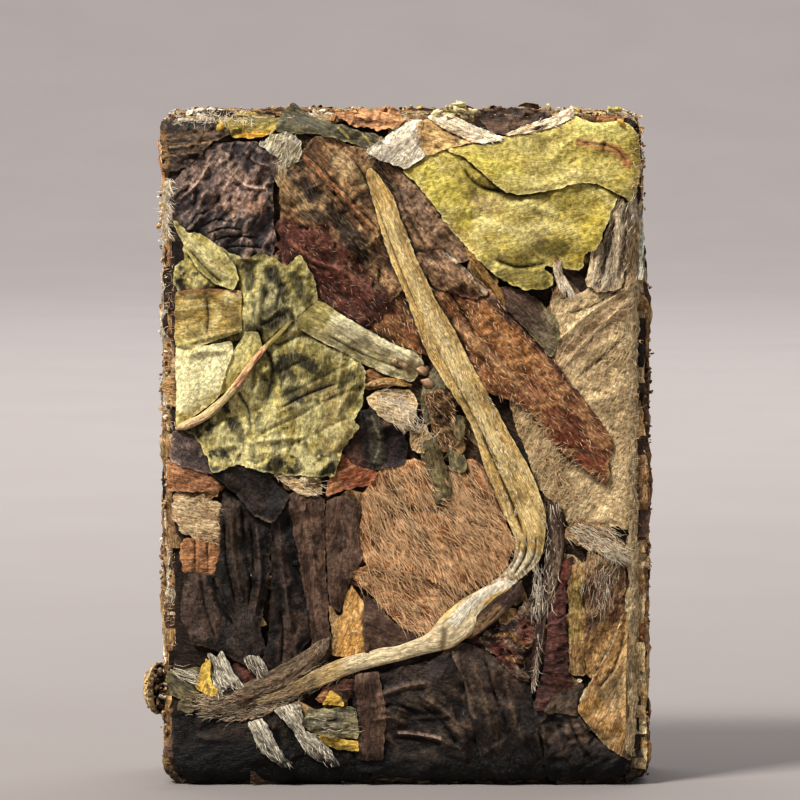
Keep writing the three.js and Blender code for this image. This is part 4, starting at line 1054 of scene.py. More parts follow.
    Leaf("right_downy_fold", "brown", -22, ((7.9, 12), (8.6, 12.7), (9.6, 12.6), (10.4, 12.1), (11, 11.2),
        (10.9, 10.4), (9.9, 11), (8.6, 11.4)), thick=0.1, wrinkle=0.08, rag=0.08, streak=0.3,
        strokes=(("#A88C64", 0.6, 0.6, (8.4, 12.1), (10.6, 11.2)),),
        down=(30, 0.6, -28, 16, "silver_down")),
    Leaf("amber_leaf", "amber", 66, ((10.7, 8), (10.1, 6.4), (9.3, 5), (8.7, 4), (8.6, 3.3), (9.2, 2.4),
        (10, 1.5), (11.2, 0.9), (11.4, 3), (11.4, 6), (11.2, 8.4)), thick=0.18, wrinkle=0.1, wrinkle_mm=1.2,
        ridged=0.03, veins=0.03, blotch=0.15, speckle=0.25, rag=0.03,
        creases=(("groove", 0.12, 0.07, (10.9, 7.4), (10.4, 5.6), (9.6, 4.4)),
        ("ridge", 0.14, 0.1, (11, 7.8), (10.9, 5), (10.9, 2))),
        strokes=(("#5C5034", 0.7, 0.8, (10.5, 4.6), (9.9, 3.6)), ("#C89A5C", 0.7, 0.75, (10.3, 5.8)),
        ("#8A4F28", 0.35, 0.7, (9.2, 4.9), (9.9, 6.2)), ("#B9843F", 0.6, 0.6, (9.4, 3.4), (10.2, 2.4)),
        ("#6A5230", 0.3, 0.6, (9.3, 2.6), (10.2, 1.6)), ("#E3CFA4", 0.08, 0.9, (10.65, 7.9), (10, 6.2),
        (9.2, 4.95), (8.65, 3.9)))),
    Leaf("right_edge_strip", "tan", 89, ((10.9, 24.6), (11.45, 24.4), (11.5, 20), (11.45, 12), (11.5, 5),
        (11.4, 1), (10.9, 1.2), (11, 4), (10.95, 8), (11, 12), (10.95, 16), (10.9, 20)), thick=0.14,
        wrinkle=0.06, blotch=0.3, rag=0.06, streak=0.4,
        strokes=(("#D0B78A", 0.4, 0.85, (11.2, 24), (11.2, 12), (11.1, 2)),),
        down=(8, 0.4, 80, 20, "golden_down")),
    Leaf("frayed_tail", "bark", -12, ((-9.9, 4.1), (-8.4, 4.4), (-6.8, 4.6), (-5.2, 5.2), (-4.2, 5.5),
        (-4.6, 4.5), (-5.6, 3.7), (-7, 3), (-8.8, 2.8), (-9.9, 3.2)), thick=0.2, wrinkle=0.12,
        wrinkle_mm=0.5, wear_and_light=0.7, streak=0.8,
        strokes=(("#8A765A", 0.7, 0.7, (-9.4, 3.7), (-6, 4)),), down=(30, 0.6, 195, 20, "grey_down")),
    Leaf("silver_buds", "silver", -70, ((-9.61, 6.12), (-9.1, 5.95), (-9.02, 5.02), (-8.68, 4.43),
        (-9.19, 4.18), (-9.45, 5.28)), thick=0.2, wrinkle=0.04, wear_and_light=0.3, streak=0.6,
        down=(16, 0.4, -68, 7, "silver_down")),
    Leaf("silver_buds", "silver", -60, ((-8.94, 6.29), (-8.35, 5.36), (-7.84, 4.52), (-8.68, 4.43),
        (-9.11, 4.86), (-9.19, 5.7)), thick=0.24, wrinkle=0.04, wear_and_light=0.3, streak=0.6,
        creases=(("ridge", 0.16, 0.3, (-8.9, 5.9), (-8.3, 4.6)),),
        strokes=(("#5E5848", 0.14, 0.8, (-9, 5.6), (-8.5, 4.6)),), down=(16, 0.4, -60, 7, "silver_down")),
    Leaf("silver_buds", "silver", -66, ((-7.84, 5.95), (-7.17, 6.08), (-6.83, 5.78), (-6.58, 4.94),
        (-6.91, 4.69), (-7.34, 5.28)), thick=0.22, wrinkle=0.04, wear_and_light=0.3, streak=0.6,
        strokes=(("#6B6352", 0.2, 0.7, (-7.5, 5.7), (-6.9, 4.9)),), down=(16, 0.4, -64, 7, "silver_down")),
    Leaf("silver_buds", "silver", -58, ((-7.55, 2.75), (-6.91, 2.96), (-6.49, 2.24), (-6.07, 1.4),
        (-5.48, 0.64), (-5.9, 0.47), (-6.91, 1.23), (-7.34, 1.99)), thick=0.24, wrinkle=0.04, wear_and_light=0.3,
        streak=0.6,
        creases=(("ridge", 0.16, 0.25, (-7.2, 2.7), (-5.8, 0.7)),),
        strokes=(("#5A5446", 0.16, 0.8, (-7.1, 2.3), (-6.5, 1.2)),), down=(16, 0.4, -55, 7, "silver_down")),
    Leaf("silver_buds", "silver", -50, ((-6.33, 3.34), (-5.65, 3.68), (-5.06, 3.59), (-4.98, 2.92),
        (-4.81, 2.33), (-4.05, 1.99), (-3.46, 1.15), (-3.21, 0.64), (-3.96, 0.72), (-4.81, 1.32),
        (-5.4, 2.33)), thick=0.24, wrinkle=0.05, wear_and_light=0.3, streak=0.6,
        creases=(("ridge", 0.16, 0.3, (-5.8, 3.4), (-5, 2.2), (-3.6, 0.9)),),
        strokes=(("#6B6450", 0.3, 0.6, (-4.6, 1.9), (-3.6, 1)), ("#55503F", 0.14, 0.8, (-5.6, 3),
        (-4.8, 1.8))), down=(16, 0.4, -50, 7, "silver_down")),
    Leaf("straw_bud", "slate", 2, ((-4.81, 3.08), (-4.39, 3.42), (-2.36, 3.42), (-2.28, 1.99), (-4.3, 2.16),
        (-4.89, 2.66)), thick=0.2, wrinkle=0.08, wrinkle_mm=0.5, streak=0.6,
        strokes=(("#8E8468", 0.2, 0.7, (-4.5, 3.2), (-2.5, 3.1)), ("#A0967C", 0.14, 0.7, (-4.6, 2.7),
        (-2.5, 2.6)), ("#8A7F5E", 0.14, 0.7, (-4.2, 2.3), (-2.4, 2.2))),
        down=(8, 0.4, 0, 8, "silver_down")),
    Leaf("gold_scales", "gold", 70, ((-9.69, 5.87), (-9.48, 5.7), (-9.45, 4.85), (-9.11, 4.35),
        (-9.27, 4.1), (-9.87, 4.18), (-10.2, 4.52), (-10.08, 5.03)), wrinkle=0.05,
        strokes=(("#6A4A14", 0.14, 0.8, (-9.6, 4.6), (-9.5, 4.3)),)),
    Leaf("gold_scales", "gold", 10, ((-3.96, 3.59), (-3.88, 4.01), (-3.54, 4.35), (-3.04, 4.01),
        (-2.95, 3.59)), wrinkle=0.05),
    Leaf("gold_scales", "gold", 0, ((-4.13, 2.07), (-2.28, 1.82), (-2.19, 1.31), (-3.21, 1.4),
        (-3.88, 1.74)), wrinkle=0.05,
        strokes=(("#7A5C1C", 0.3, 0.6, (-2.8, 1.4)),)),
    Leaf("middle_chips_dark", "black", -30, ((-2.6, 17.9), (-1.6, 18.1), (-1, 17.3), (-0.3, 17.3),
        (0.2, 16.4), (0, 15.5), (-1.2, 15.2), (-2.5, 15), (-3.1, 16.2)), wrinkle=0.12, ridged=0.08,
        creases=(("groove", 0.16, 0.07, (-1.95, 17.9), (-1.75, 16.6), (-1.9, 15.3)),
        ("groove", 0.14, 0.07, (-0.95, 17.3), (-0.75, 16.4), (-0.9, 15.4))),
        strokes=(("#5A3A2C", 0.5, 0.8, (-2.8, 16.8), (-2.3, 15.6)), ("#4C4636", 0.4, 0.75, (-1.4, 17.4),
        (-1.3, 15.8)), ("#3A2A2C", 0.4, 0.8, (-0.4, 16.6), (-0.5, 15.7)),
        ("#8A8064", 0.06, 0.8, (-1.55, 17.8), (-1.15, 16.6), (-1.45, 15.5)))),
    Leaf("middle_chips_tan", "tan", -10, ((-1.8, 18.7), (-1, 19.1), (0.3, 19.1), (0.7, 18.4), (0.5, 17.4),
        (0, 16.9), (-0.4, 17.4), (-1.2, 17.8)), wrinkle=0.1, down=(26, 0.6, -50, 40, "silver_down")),
    Leaf("middle_chips_tan", "tan", 70, ((0.3, 17.3), (1.1, 17.3), (1.4, 16.6), (1, 16), (0.4, 16.1)),
        wrinkle=0.1, down=(26, 0.5, 60, 40, "silver_down")),
    Leaf("russet_chip", "rust", 20, ((-3.7, 14.6), (-3.1, 16), (-2.4, 15.4), (-1.3, 15), (-1.6, 14.4),
        (-2.8, 14.2), (-3.7, 13.9)), wrinkle=0.1, ridged=0.1,
        strokes=(("#87452C", 1.6, 0.8, (-3, 14.8), (-2, 14.8)),)),
    Leaf("middle_chip_brown", "brown", -50, ((1, 18.9), (2.2, 19.1), (2.6, 18), (3.2, 17.2), (2.4, 16.1),
        (1.8, 16.2), (1.4, 17.2)), wrinkle=0.14, wrinkle_mm=0.6, ridged=0.12,
        strokes=(("#6E5532", 0.9, 0.6, (2, 17.6)),), down=(20, 0.4, -50, 40, "golden_down")),
    Leaf("middle_chip_olive", "slate", -72, ((0.9, 16.5), (1.6, 16.7), (2, 15.6), (2.35, 14.6), (2.2, 13.9),
        (1.65, 13.5), (1.35, 14.4), (1.05, 15.6)), thick=0.24, wrinkle=0.04, speckle=0.1,
        strokes=(("#5C4C2C", 0.9, 0.8, (1.4, 16.2), (1.8, 15)), ("#776A3A", 0.3, 0.8, (1.75, 14.7)),
        ("#5E4C46", 0.35, 0.8, (1.7, 13.8)))),
    Leaf("slate_chips", "slate", -70, ((2.2, 16.2), (3, 15.9), (3, 15.1), (2.3, 15.2)), wrinkle=0.08),
    Leaf("left_chips_rust", "rust", -14, ((-1.9, 20), (-1.4, 20.1), (0, 19.6), (-0.6, 19.3), (-1.9, 19.1)),
        wrinkle=0.05),
    Leaf("middle_chips_tan", "tan", 0, ((-6.3, 14.9), (-4.2, 14.9), (-4, 14), (-4.8, 13.9), (-5.5, 14.3)),
        wrinkle=0.08, down=(26, 0.5, -30, 40, "silver_down")),
    Leaf("green_leaf", "green", 80, ((-11.1, 27.3), (-10.5, 26.8), (-9.9, 26.7), (-9, 26.1), (-7.8, 25.5),
        (-7, 25.75), (-6.4, 25.6), (-5.7, 25.1), (-5.05, 25.7), (-4.6, 25.1), (-4.3, 24.4), (-4.1, 23.4),
        (-3, 22.2), (-2.2, 20.6), (-1.9, 19.8), (-2, 18.5), (-2.4, 17.6), (-2.2, 17.3), (-3, 16.2),
        (-3.4, 14.9), (-5, 14.9), (-6.9, 15.05), (-8.1, 15.4), (-9.3, 15.05), (-9.6, 15.9), (-10.2, 16.9),
        (-11, 17.3), (-11.1, 20), (-11, 23.9), (-11.3, 24.4), (-11.1, 25.1), (-10.7, 25.5), (-10.7, 26.3)),
        thick=0.24, wrinkle=0.1, wrinkle_mm=1.1, ridged=0.07, veins=0.06, blotch=0.5, speckle=1.0,
        mottle=0.4,
        creases=(("groove", 0.14, 0.07, (-8, 18.8), (-7.6, 18.2), (-7.45, 17.2)),
        ("groove", 0.14, 0.07, (-3.2, 19.4), (-4.6, 18.9), (-6, 18.2)), ("ridge", 0.12, 0.12, (-2.4, 17.4),
        (-3, 18.2), (-3.2, 19.2)), ("groove", 0.14, 0.08, (-7.2, 22.4), (-7, 21.4), (-6.4, 20.4),
        (-6.6, 18.6)), ("ridge", 0.12, 0.16, (-7, 25.4), (-7.1, 23.4), (-7.2, 22)),
        ("ridge", 0.1, 0.12, (-9.2, 16.2), (-7, 16.6), (-4.6, 16.8)), ("groove", 0.12, 0.07, (-5.6, 22.2),
        (-6.4, 21.4), (-5.4, 21.6), (-4.4, 22))),
        strokes=(("#857840", 2, 0.6, (-6.2, 24.4), (-5.4, 21), (-4, 18.4)),
        ("#7C6E3C", 1.2, 0.5, (-3.4, 19.4), (-3, 17)), ("#2A2614", 1.2, 0.9, (-6.6, 23.3), (-6.4, 22.6)),
        ("#25220F", 0.45, 0.85, (-6.8, 23.9), (-6.6, 22.9)), ("#221F0E", 0.6, 0.9, (-6.6, 22.7),
        (-5.9, 22.3)), ("#25220F", 0.5, 0.9, (-6.4, 24.8), (-6.2, 23.2), (-5.6, 22.4)),
        ("#25220F", 0.4, 0.9, (-6.2, 20.2), (-5.2, 20.6), (-4.4, 20.2)),
        ("#2B2714", 0.3, 0.85, (-6.9, 19.8), (-6.5, 18.9)), ("#2B2714", 0.25, 0.85, (-4, 19.2),
        (-3.4, 18.8)), ("#2B2714", 0.25, 0.85, (-5.2, 18.6), (-4.6, 18.2)),
        ("#2B2714", 0.22, 0.85, (-7, 17.9), (-6.9, 17.2)), ("#2B2714", 0.2, 0.85, (-8.8, 16.9),
        (-8.7, 16.2)), ("#2B2714", 0.2, 0.85, (-7.4, 16.4), (-7.4, 15.7)),
        ("#2B2714", 0.2, 0.85, (-3.9, 17.4), (-3.7, 16.8)), ("#2B2714", 0.25, 0.85, (-8.6, 25.2),
        (-8.2, 24.9)), ("#312C1C", 0.6, 0.8, (-6.4, 24.6), (-6.2, 23.2), (-5.8, 22.4)),
        ("#3A3522", 0.35, 0.8, (-7.6, 25.2), (-7.5, 24.2)), ("#3A3522", 0.35, 0.8, (-5.3, 24.6),
        (-4.8, 23.6)), ("#2E2A1B", 0.45, 0.85, (-6.2, 20.4), (-5.6, 19.6), (-5.4, 18.6)),
        ("#3A3522", 0.3, 0.8, (-4.6, 20.4), (-4, 19.8)), ("#3C3722", 0.35, 0.75, (-6.2, 16.8),
        (-6.2, 15.4)), ("#3A3522", 0.35, 0.75, (-8.2, 17.6), (-8, 16.4)),
        ("#3C3722", 0.3, 0.7, (-4.9, 16.4), (-4.6, 15.3)), ("#B39C62", 0.9, 0.6, (-3.2, 18.6),
        (-3.4, 16.4)), ("#D8CA8A", 0.45, 0.7, (-8.9, 17), (-8, 15.9)), ("#DACD8E", 0.35, 0.7, (-5.4, 16.2),
        (-4.2, 15.4)), ("#CFC384", 0.5, 0.6, (-6.8, 19.2), (-6.6, 17.8)))),
    Leaf("green_leaf", "green", 2, ((-11.1, 23.8), (-9.4, 24.05), (-7.95, 23.9), (-7.9, 22.9),
        (-7.9, 21.95), (-9, 21.6), (-10.2, 21.2), (-11.1, 21.3)), thick=0.14, wrinkle=0.07, ridged=0.05,
        blotch=0.1, speckle=0.25, rag=0.02,
        creases=(("groove", 0.1, 0.07, (-9.6, 23.7), (-9.5, 22.6), (-9.6, 21.8)),
        ("ridge", 0.12, 0.1, (-10.6, 21.4), (-9.2, 21.75), (-8, 22.05))),
        strokes=(("#A3833C", 1.6, 0.9, (-10.4, 22.8), (-8.6, 22.9)), ("#8A5230", 0.14, 0.85, (-10.9, 23.85),
        (-9.4, 24), (-8, 23.8)), ("#C9B474", 0.5, 0.5, (-10.6, 22), (-9.4, 22.2)),
        ("#6A5A34", 0.4, 0.6, (-8.6, 23.2), (-8.2, 22.4)), ("#C8AE6E", 0.3, 0.6, (-10.6, 23.4),
        (-9.9, 23.3)))),
    Leaf("green_leaf", "green", -42, ((-11.2, 27.3), (-10.5, 26.8), (-9.9, 26.7), (-9, 26.1), (-8.2, 25.2),
        (-8, 24.5), (-8.3, 24), (-9.2, 24.3), (-10, 25), (-10.5, 25.8)), thick=0.2, wrinkle=0.07,
        ridged=0.04, blotch=0.1, speckle=0.2, rag=0.02, wear_and_light=0.2,
        creases=(("groove", 0.14, 0.07, (-10.4, 25.9), (-9.6, 25), (-8.8, 24.3)),
        ("ridge", 0.14, 0.14, (-10.2, 26.1), (-9.4, 25.2), (-8.5, 24.6))),
        strokes=(("#DDD092", 0.4, 0.8, (-10.6, 26.5), (-9.6, 25.5), (-8.6, 24.5)),
        ("#8A4A2C", 0.08, 0.8, (-9.4, 25.4), (-8.8, 24.9)))),
    Leaf("green_leaf", "green", 60, ((-11.1, 17.3), (-10.4, 17.7), (-9.4, 18.4), (-8.9, 18.97), (-8.64, 20),
        (-8.29, 20.97), (-8.4, 21.5), (-9.6, 21.3), (-11.1, 21.2), (-11.1, 19)), thick=0.14, wrinkle=0.1,
        wrinkle_mm=1.6, ridged=0.02, blotch=0.05, speckle=0.05, mottle=0.1, wear_and_light=0.1, rag=0.015,
        creases=(("ridge", 0.14, 0.14, (-10.7, 20.7), (-9.9, 21), (-8.6, 21)),),
        strokes=(("#FFF4BA", 1.6, 0.95, (-10.4, 19.2), (-9.2, 20.6)), ("#D2C27C", 0.3, 0.5, (-10.6, 18),
        (-9.4, 18.9)))),
    Leaf("green_leaf", "green", 62, ((-7.7, 21.9), (-7.1, 21.9), (-6.9, 21.2), (-7.4, 20.4), (-7.9, 19.7),
        (-8.4, 19.2), (-8.95, 18.9), (-8.64, 20), (-8.29, 20.97)), thick=0.26, wrinkle=0.05, ridged=0.02,
        blotch=0.1, speckle=0.2, wear_and_light=0.1, rag=0.015, curl=0.02,
        strokes=(("#D8CC88", 0.16, 0.8, (-7.7, 21.85), (-8.25, 20.97), (-8.6, 20)),)),
    # The petiole's pale stroke along its raised middle is a painted highlight
    Leaf("petiole", "petiole", -28, ((-4.15, 23.45), (-3.4, 23.05), (-2.35, 22.4), (-1.1, 21.65),
        (0, 21.15), (0.6, 20.9), (1, 20.3), (0.45, 19.5), (-0.5, 19.7), (-1.35, 20.1), (-2.2, 20.5),
        (-2.85, 20.95), (-3.8, 21.35), (-4.7, 21.85), (-5.3, 22.3), (-4.9, 22.85)), thick=0.16,
        wrinkle=0.06, ridged=0.05, streak=0.5, speckle=0.2, blotch=0.1, rag=0.02, curl=0.02,
        creases=(("ridge", 0.3, 0.45, (-3.6, 22.75), (-2.4, 22), (-0.4, 20.95), (0.6, 20.4)),
        ("groove", 0.08, 0.06, (-3.9, 21.9), (-2, 20.85), (0.2, 20))),
        strokes=(("#DED3A6", 0.5, 0.8, (-3.8, 22.9), (-1.8, 21.7), (0, 20.9)),
        ("#8F8452", 0.28, 0.7, (-4.6, 22), (-2.8, 21.1), (-0.6, 19.9)), ("#7C5A44", 0.4, 0.65, (-0.2, 20.4),
        (0.8, 20.1)), ("#97894A", 1, 0.95, (-6, 22.4), (-4.9, 22.8), (-4.2, 23)),
        ("#4A431F", 0.5, 0.8, (-6.1, 22.4), (-5.5, 22.7)), ("#6A6034", 0.2, 0.7, (-4.5, 23)))),
    Leaf("yellow_leaf", "yellow", 14, ((0, 29.9), (1.2, 30.6), (2.4, 31), (4, 30.9), (7, 30.6), (9.6, 30.4),
        (10.6, 29.4), (10.4, 28.4), (9.95, 27.4), (9.4, 26), (8.8, 25.6), (8.7, 25), (7.9, 25), (6.9, 25.1),
        (7.35, 24.5), (6.9, 24), (5.9, 24.05), (5, 24.4), (4.2, 24.9), (3.4, 25.7), (2, 27.4), (0.7, 29.1)),
        ease=0.8, thick=0.22, wrinkle=0.16, wrinkle_mm=1.9, ridged=0.03, veins=0.03, blotch=0.1, mottle=0.5,
        wear_and_light=0.35, speckle=0.3,
        creases=(("groove", 0.2, 0.08, (2.9, 29.9), (3.4, 29.25), (4.1, 28.9), (4.8, 28.75)),
        ("step", 0.22, 0.08, (7, 25.2), (5.6, 25), (4.4, 25.4)), ("ridge", 0.12, 0.2, (5.7, 28.4),
        (6.5, 28), (7.6, 27.5)), ("ridge", 0.1, 0.3, (3.4, 27.6), (5.4, 26.9), (7.4, 27.2))),
        strokes=(("#A08C46", 0.7, 0.5, (3, 28.9), (4.2, 27.2)), ("#E6D68A", 0.6, 0.5, (5.4, 28.1), (7, 28)),
        ("#93823A", 0.5, 0.5, (7.6, 28.4), (9, 27.6)), ("#E2D27E", 0.6, 0.5, (5.8, 26.2), (6.6, 25.6)),
        ("#8C7A3A", 0.35, 0.6, (4, 26), (4.8, 25.4)), ("#6C6230", 0.45, 0.75, (6.9, 26.1), (7.7, 26)),
        ("#7E5A2C", 0.2, 0.8, (4.65, 27.8)), ("#8E7F30", 0.25, 0.6, (5, 28.5), (7.2, 28.6), (9.4, 28.9)),
        ("#C6AE78", 0.5, 0.6, (3.4, 28.3), (4.6, 28.2)), ("#9A6F3A", 0.14, 0.6, (2.6, 28.3), (3.8, 27.9)),
        ("#DCCB54", 0.9, 0.55, (1.6, 29.2), (2.9, 27.8)), ("#8A7E44", 0.5, 0.75, (4.8, 24.7), (6.8, 24.6)),
        ("#C9B13E", 0.6, 0.6, (9.3, 27.4), (8.6, 25.8)), ("#B39A66", 0.5, 0.45, (5.4, 27.2), (6.6, 26.8)),
        ("#A88C3C", 0.3, 0.6, (2.6, 26.9), (3.6, 26)))),
    Leaf("yellow_leaf", "yellow", 4, ((2.2, 30.95), (4.8, 31.45), (7, 31.9), (8.1, 32.5), (9.2, 32.1),
        (10.6, 32.2), (11.4, 31.6), (11.6, 30.2), (11.4, 28.9), (11.1, 28.2), (10.75, 28.5), (9.4, 29.15),
        (8.6, 29.2), (7.2, 28.85), (5.6, 28.6), (5, 28.8), (4.5, 29.1), (3.9, 29.6), (3.1, 30.3)), ease=0.8,
        thick=0.3, wrinkle=0.14, wrinkle_mm=1.9, ridged=0.03, blotch=0.1, mottle=0.5, rag=0.03, wear_and_light=0.25,
        speckle=0.2, curl=0.02,
        creases=(("ridge", 0.14, 0.4, (4.6, 29.5), (6.4, 29.1), (9, 29.7)),
        ("groove", 0.1, 0.07, (8.6, 31.2), (9.6, 31.1), (10.4, 30.8), (10.9, 30.2))),
        strokes=(("#C07F50", 0.3, 0.9, (8.6, 31.2), (9.6, 31.1), (10.4, 30.8), (10.9, 30.2)),
        ("#6E5A3A", 0.25, 0.7, (9.9, 30.6)), ("#D9A860", 0.1, 0.7, (2.2, 30.95), (4.8, 31.4), (7, 31.85)),
        ("#DCCB54", 0.7, 0.6, (3.6, 30.2), (5.2, 29.5)), ("#A69A50", 0.7, 0.4, (7.4, 30.3), (9.6, 29.8)),
        ("#9A8C4A", 0.7, 0.5, (4.2, 30.9), (6.6, 31)), ("#D8CD78", 0.6, 0.6, (8.6, 31.7), (10.6, 31.6)))),
    Leaf("corner_stack", "umber", 6, ((-11.8, 32.2), (-9.6, 32.3), (-7.9, 31.9), (-9.3, 31.2), (-10, 30.4),
        (-11, 29.8), (-11.8, 29.7)), wrinkle=0.1, wrinkle_mm=0.3, ridged=0.1, streak=0.6, wear_and_light=0.6,
        strokes=(("#8C6A4A", 0.05, 0.8, (-11.4, 31.3), (-9.2, 31.7)), ("#B08A5C", 0.05, 0.8, (-11.4, 30.9),
        (-9.4, 31.2)), ("#8C6A4A", 0.05, 0.8, (-11.4, 30.5), (-10, 30.7)),
        ("#9C7448", 0.2, 0.8, (-11.7, 31.6), (-11.6, 30)), ("#D8C29A", 0.14, 0.7, (-11.4, 32.3),
        (-9.4, 32.4)))),
    Leaf("olive_top_leaf", "gold", 8, ((-9.2, 32.3), (-7.6, 32.6), (-6.4, 32.5), (-5.7, 32.2), (-6.4, 31.6),
        (-7.3, 31.4), (-8.3, 31.4), (-8.6, 31.9)), wrinkle=0.06, mottle=0.5,
        strokes=(("#7A6E2C", 0.9, 0.85, (-8.6, 32.1), (-6.2, 32.2)), ("#5A5428", 0.3, 0.7, (-7.4, 32.3),
        (-6.2, 32.3)), ("#D39A2A", 0.2, 0.8, (-8, 31.45), (-6.6, 31.6)))),
    Leaf("slate_leaf", "slate", -20, ((-6.2, 31.7), (-6, 32.5), (-5.4, 33), (-4.8, 32.7), (-4, 32.2),
        (-2.6, 31.9), (-1, 31.4), (-1.6, 30.8), (-2.8, 31.2), (-4.4, 31.6)), wrinkle=0.07, veins=0.04,
        strokes=(("#45422E", 0.8, 0.6, (-5.6, 32.4), (-3.4, 31.8)), ("#B9A052", 0.05, 0.8, (-3.2, 31.9),
        (-2.7, 31.4)), ("#B9A052", 0.05, 0.8, (-2, 31.6), (-1.6, 31.1)))),
    Leaf("silver_tuft", "silver", 60, ((-7, 31.1), (-6.4, 31.6), (-5.7, 31.7), (-5, 31.2), (-5.1, 30.4),
        (-5.8, 29.9), (-6.2, 30.4)), wrinkle=0.08, streak=0.6, rag=0.05,
        strokes=(("#B5A97E", 0.8, 0.6, (-6.2, 31), (-5.4, 30.6)),), down=(16, 0.4, 40, 40, "silver_down")),
    Leaf("cream_bud", "cream", 52, ((-1.8, 30.7), (-0.9, 31.4), (0.1, 32.1), (0.9, 32.2), (0.8, 31.2),
        (1.2, 30.6), (0.1, 29.9), (-0.7, 30.2)), thick=0.28, wrinkle=0.08, blotch=0.1, speckle=0.1,
        wear_and_light=0.2, mottle=0.4, streak=0.25, rag=0.03,
        strokes=(("#FBEFD8", 1.2, 0.75, (-0.8, 30.8), (0.3, 31.4)),),
        down=(50, 0.35, 50, 30, "silver_down")),
    Leaf("spongy_chip", "amber", -14, ((0.7, 32.1), (1.5, 32.3), (2.4, 31.8), (3.3, 31.2), (2.2, 30.9),
        (1.1, 30.5), (0.7, 31.2)), wrinkle=0.12, wrinkle_mm=0.5,
        strokes=(("#D0A769", 1, 0.8, (1.2, 31.4), (2.4, 31.3)),)),
    Leaf("dark_chips", "panel", -4, ((3.5, 32.7), (5.5, 32.8), (7.2, 32.7), (7, 32.1), (5.2, 31.5),
        (4.2, 31.7)), wrinkle=0.16, wrinkle_mm=0.4, ridged=0.14, streak=0.4,
        strokes=(("#2A1D16", 0.35, 0.7, (3.8, 32.4), (7, 32.4)), ("#6B5236", 0.08, 0.8, (4.2, 32),
        (6.6, 32.2)))),
    Leaf("cream_rolls", "cream", -18, ((1.2, 32.4), (2.3, 32.5), (3.2, 32.1), (4.1, 31.7), (4.9, 31.35),
        (3.5, 31.1), (2.4, 31.6)), thick=0.28, wrinkle=0.06, streak=0.12, rag=0.03,
        strokes=(("#B7966C", 0.16, 0.7, (1.4, 32.2), (2.4, 31.7), (3.6, 31.2)),),
        down=(50, 0.35, -20, 30, "silver_down")),
    Leaf("cream_rolls", "cream", 22, ((5, 31.5), (6, 32), (7, 32.3), (8.2, 32.9), (8.3, 32.4), (7, 31.8)),
        thick=0.2, wrinkle=0.05, rag=0.03,
        strokes=(("#C2A47C", 0.3, 0.6, (5.2, 31.5), (7, 31.9), (8.2, 32.5)),),
        down=(50, 0.35, 20, 30, "silver_down")),
    # The main stem's pale stroke along its raised middle is a painted highlight
    Leaf("main_stem", "straw", -65, ((-1.65, 29.95), (-1.2, 29.5), (-0.55, 28.6), (0.05, 27), (0.75, 25.3),
        (1.5, 23.7), (2.5, 22), (3.3, 20.4), (4.2, 18.75), (5.1, 17.1), (5.95, 15.6), (6.6, 14.2),
        (6.95, 12.8), (6.85, 11.5), (6.65, 10.8), (6.2, 10.2), (5.6, 9.75), (5, 9.45), (4.3, 9.3),
        (4.4, 9.7), (4.95, 10.15), (5.35, 10.7), (5.45, 11.3), (5.4, 11.9), (4.95, 13), (4.5, 14.1),
        (3.9, 15.5), (3.4, 17.1), (2.5, 18.75), (1.4, 20.4), (0.7, 22), (0.1, 23.7), (-0.6, 25.3),
        (-1.15, 27), (-1.55, 28.6), (-1.8, 29.5)), ease=0.9, thick=0.34, wrinkle=0.04, wrinkle_mm=1.4,
        ridged=0.02, wear_and_light=0.15, blotch=0.05, speckle=0.1, mottle=0.35, streak=0.45, rag=0.02, curl=0.02,
        creases=(("ridge", 0.3, 0.4, (-1.2, 28.8), (0.1, 25.3), (1.6, 22), (3.3, 18.7), (4.4, 16.6),
        (5.4, 14)), ("groove", 0.2, 0.06, (3.7, 17.2), (4.5, 15.4), (5.3, 13.6), (5.9, 12)),
        ("groove", 0.08, 0.05, (-1.3, 28.2), (-0.3, 25.4), (0.8, 22.8)), ("groove", 0.08, 0.05, (1.4, 21.6),
        (3, 18.6), (4.9, 15)), ("groove", 0.16, 0.06, (6.05, 11.9), (5.95, 11), (5.4, 10)),
        ("groove", 0.08, 0.05, (6.5, 12), (6.4, 11), (5.9, 10.2)), ("groove", 0.06, 0.05, (5.7, 11.8),
        (5.6, 11), (5.2, 10.2))),
        strokes=(("#DCC288", 0.25, 0.6, (-0.9, 27.6), (0.9, 23.6), (2.8, 19.6), (4.6, 16)),
        ("#8E6F44", 0.25, 0.6, (-1.6, 29.4), (-1.3, 28.4)), ("#A88C58", 0.35, 0.5, (5.7, 11.9),
        (6.7, 11.8)), ("#EDE2C8", 0.4, 0.85, (5.5, 10.9), (5.2, 10.2), (4.5, 9.8)),
        ("#E4D6B2", 0.5, 0.7, (6.3, 10.9), (5.6, 10)), ("#5E5040", 0.07, 0.8, (5.3, 10.1), (4.8, 9.9)),
        ("#B08C54", 0.14, 0.6, (-0.2, 27), (1.3, 23.8), (2.4, 21.8))),
        down=(6, 0.3, -65, 30, "silver_down")),
    Leaf("slate_chips", "slate", -80, ((2.5, 17.8), (2.9, 17.7), (3.05, 17), (2.8, 16.5), (2.45, 16.9)),
        wrinkle=0.03,
        strokes=(("#8C7C52", 0.5, 0.8, (2.75, 17.2)),)),
    Leaf("top_chips_rust", "rust", -8, ((-3.7, 32.3), (-2.9, 32.75), (-1.8, 32.6), (-0.7, 32.8),
        (0.1, 32.3), (-0.5, 31.75), (-1.6, 31.85), (-2.6, 32)), thick=0.22, wrinkle=0.16, wrinkle_mm=0.5,
        ridged=0.16, rag=0.1,
        strokes=(("#C08A5C", 0.6, 0.7, (-2.6, 32.4), (-0.6, 32.3)), ("#6B3A22", 0.14, 0.7, (-3, 32.3),
        (-1.2, 32.2)))),
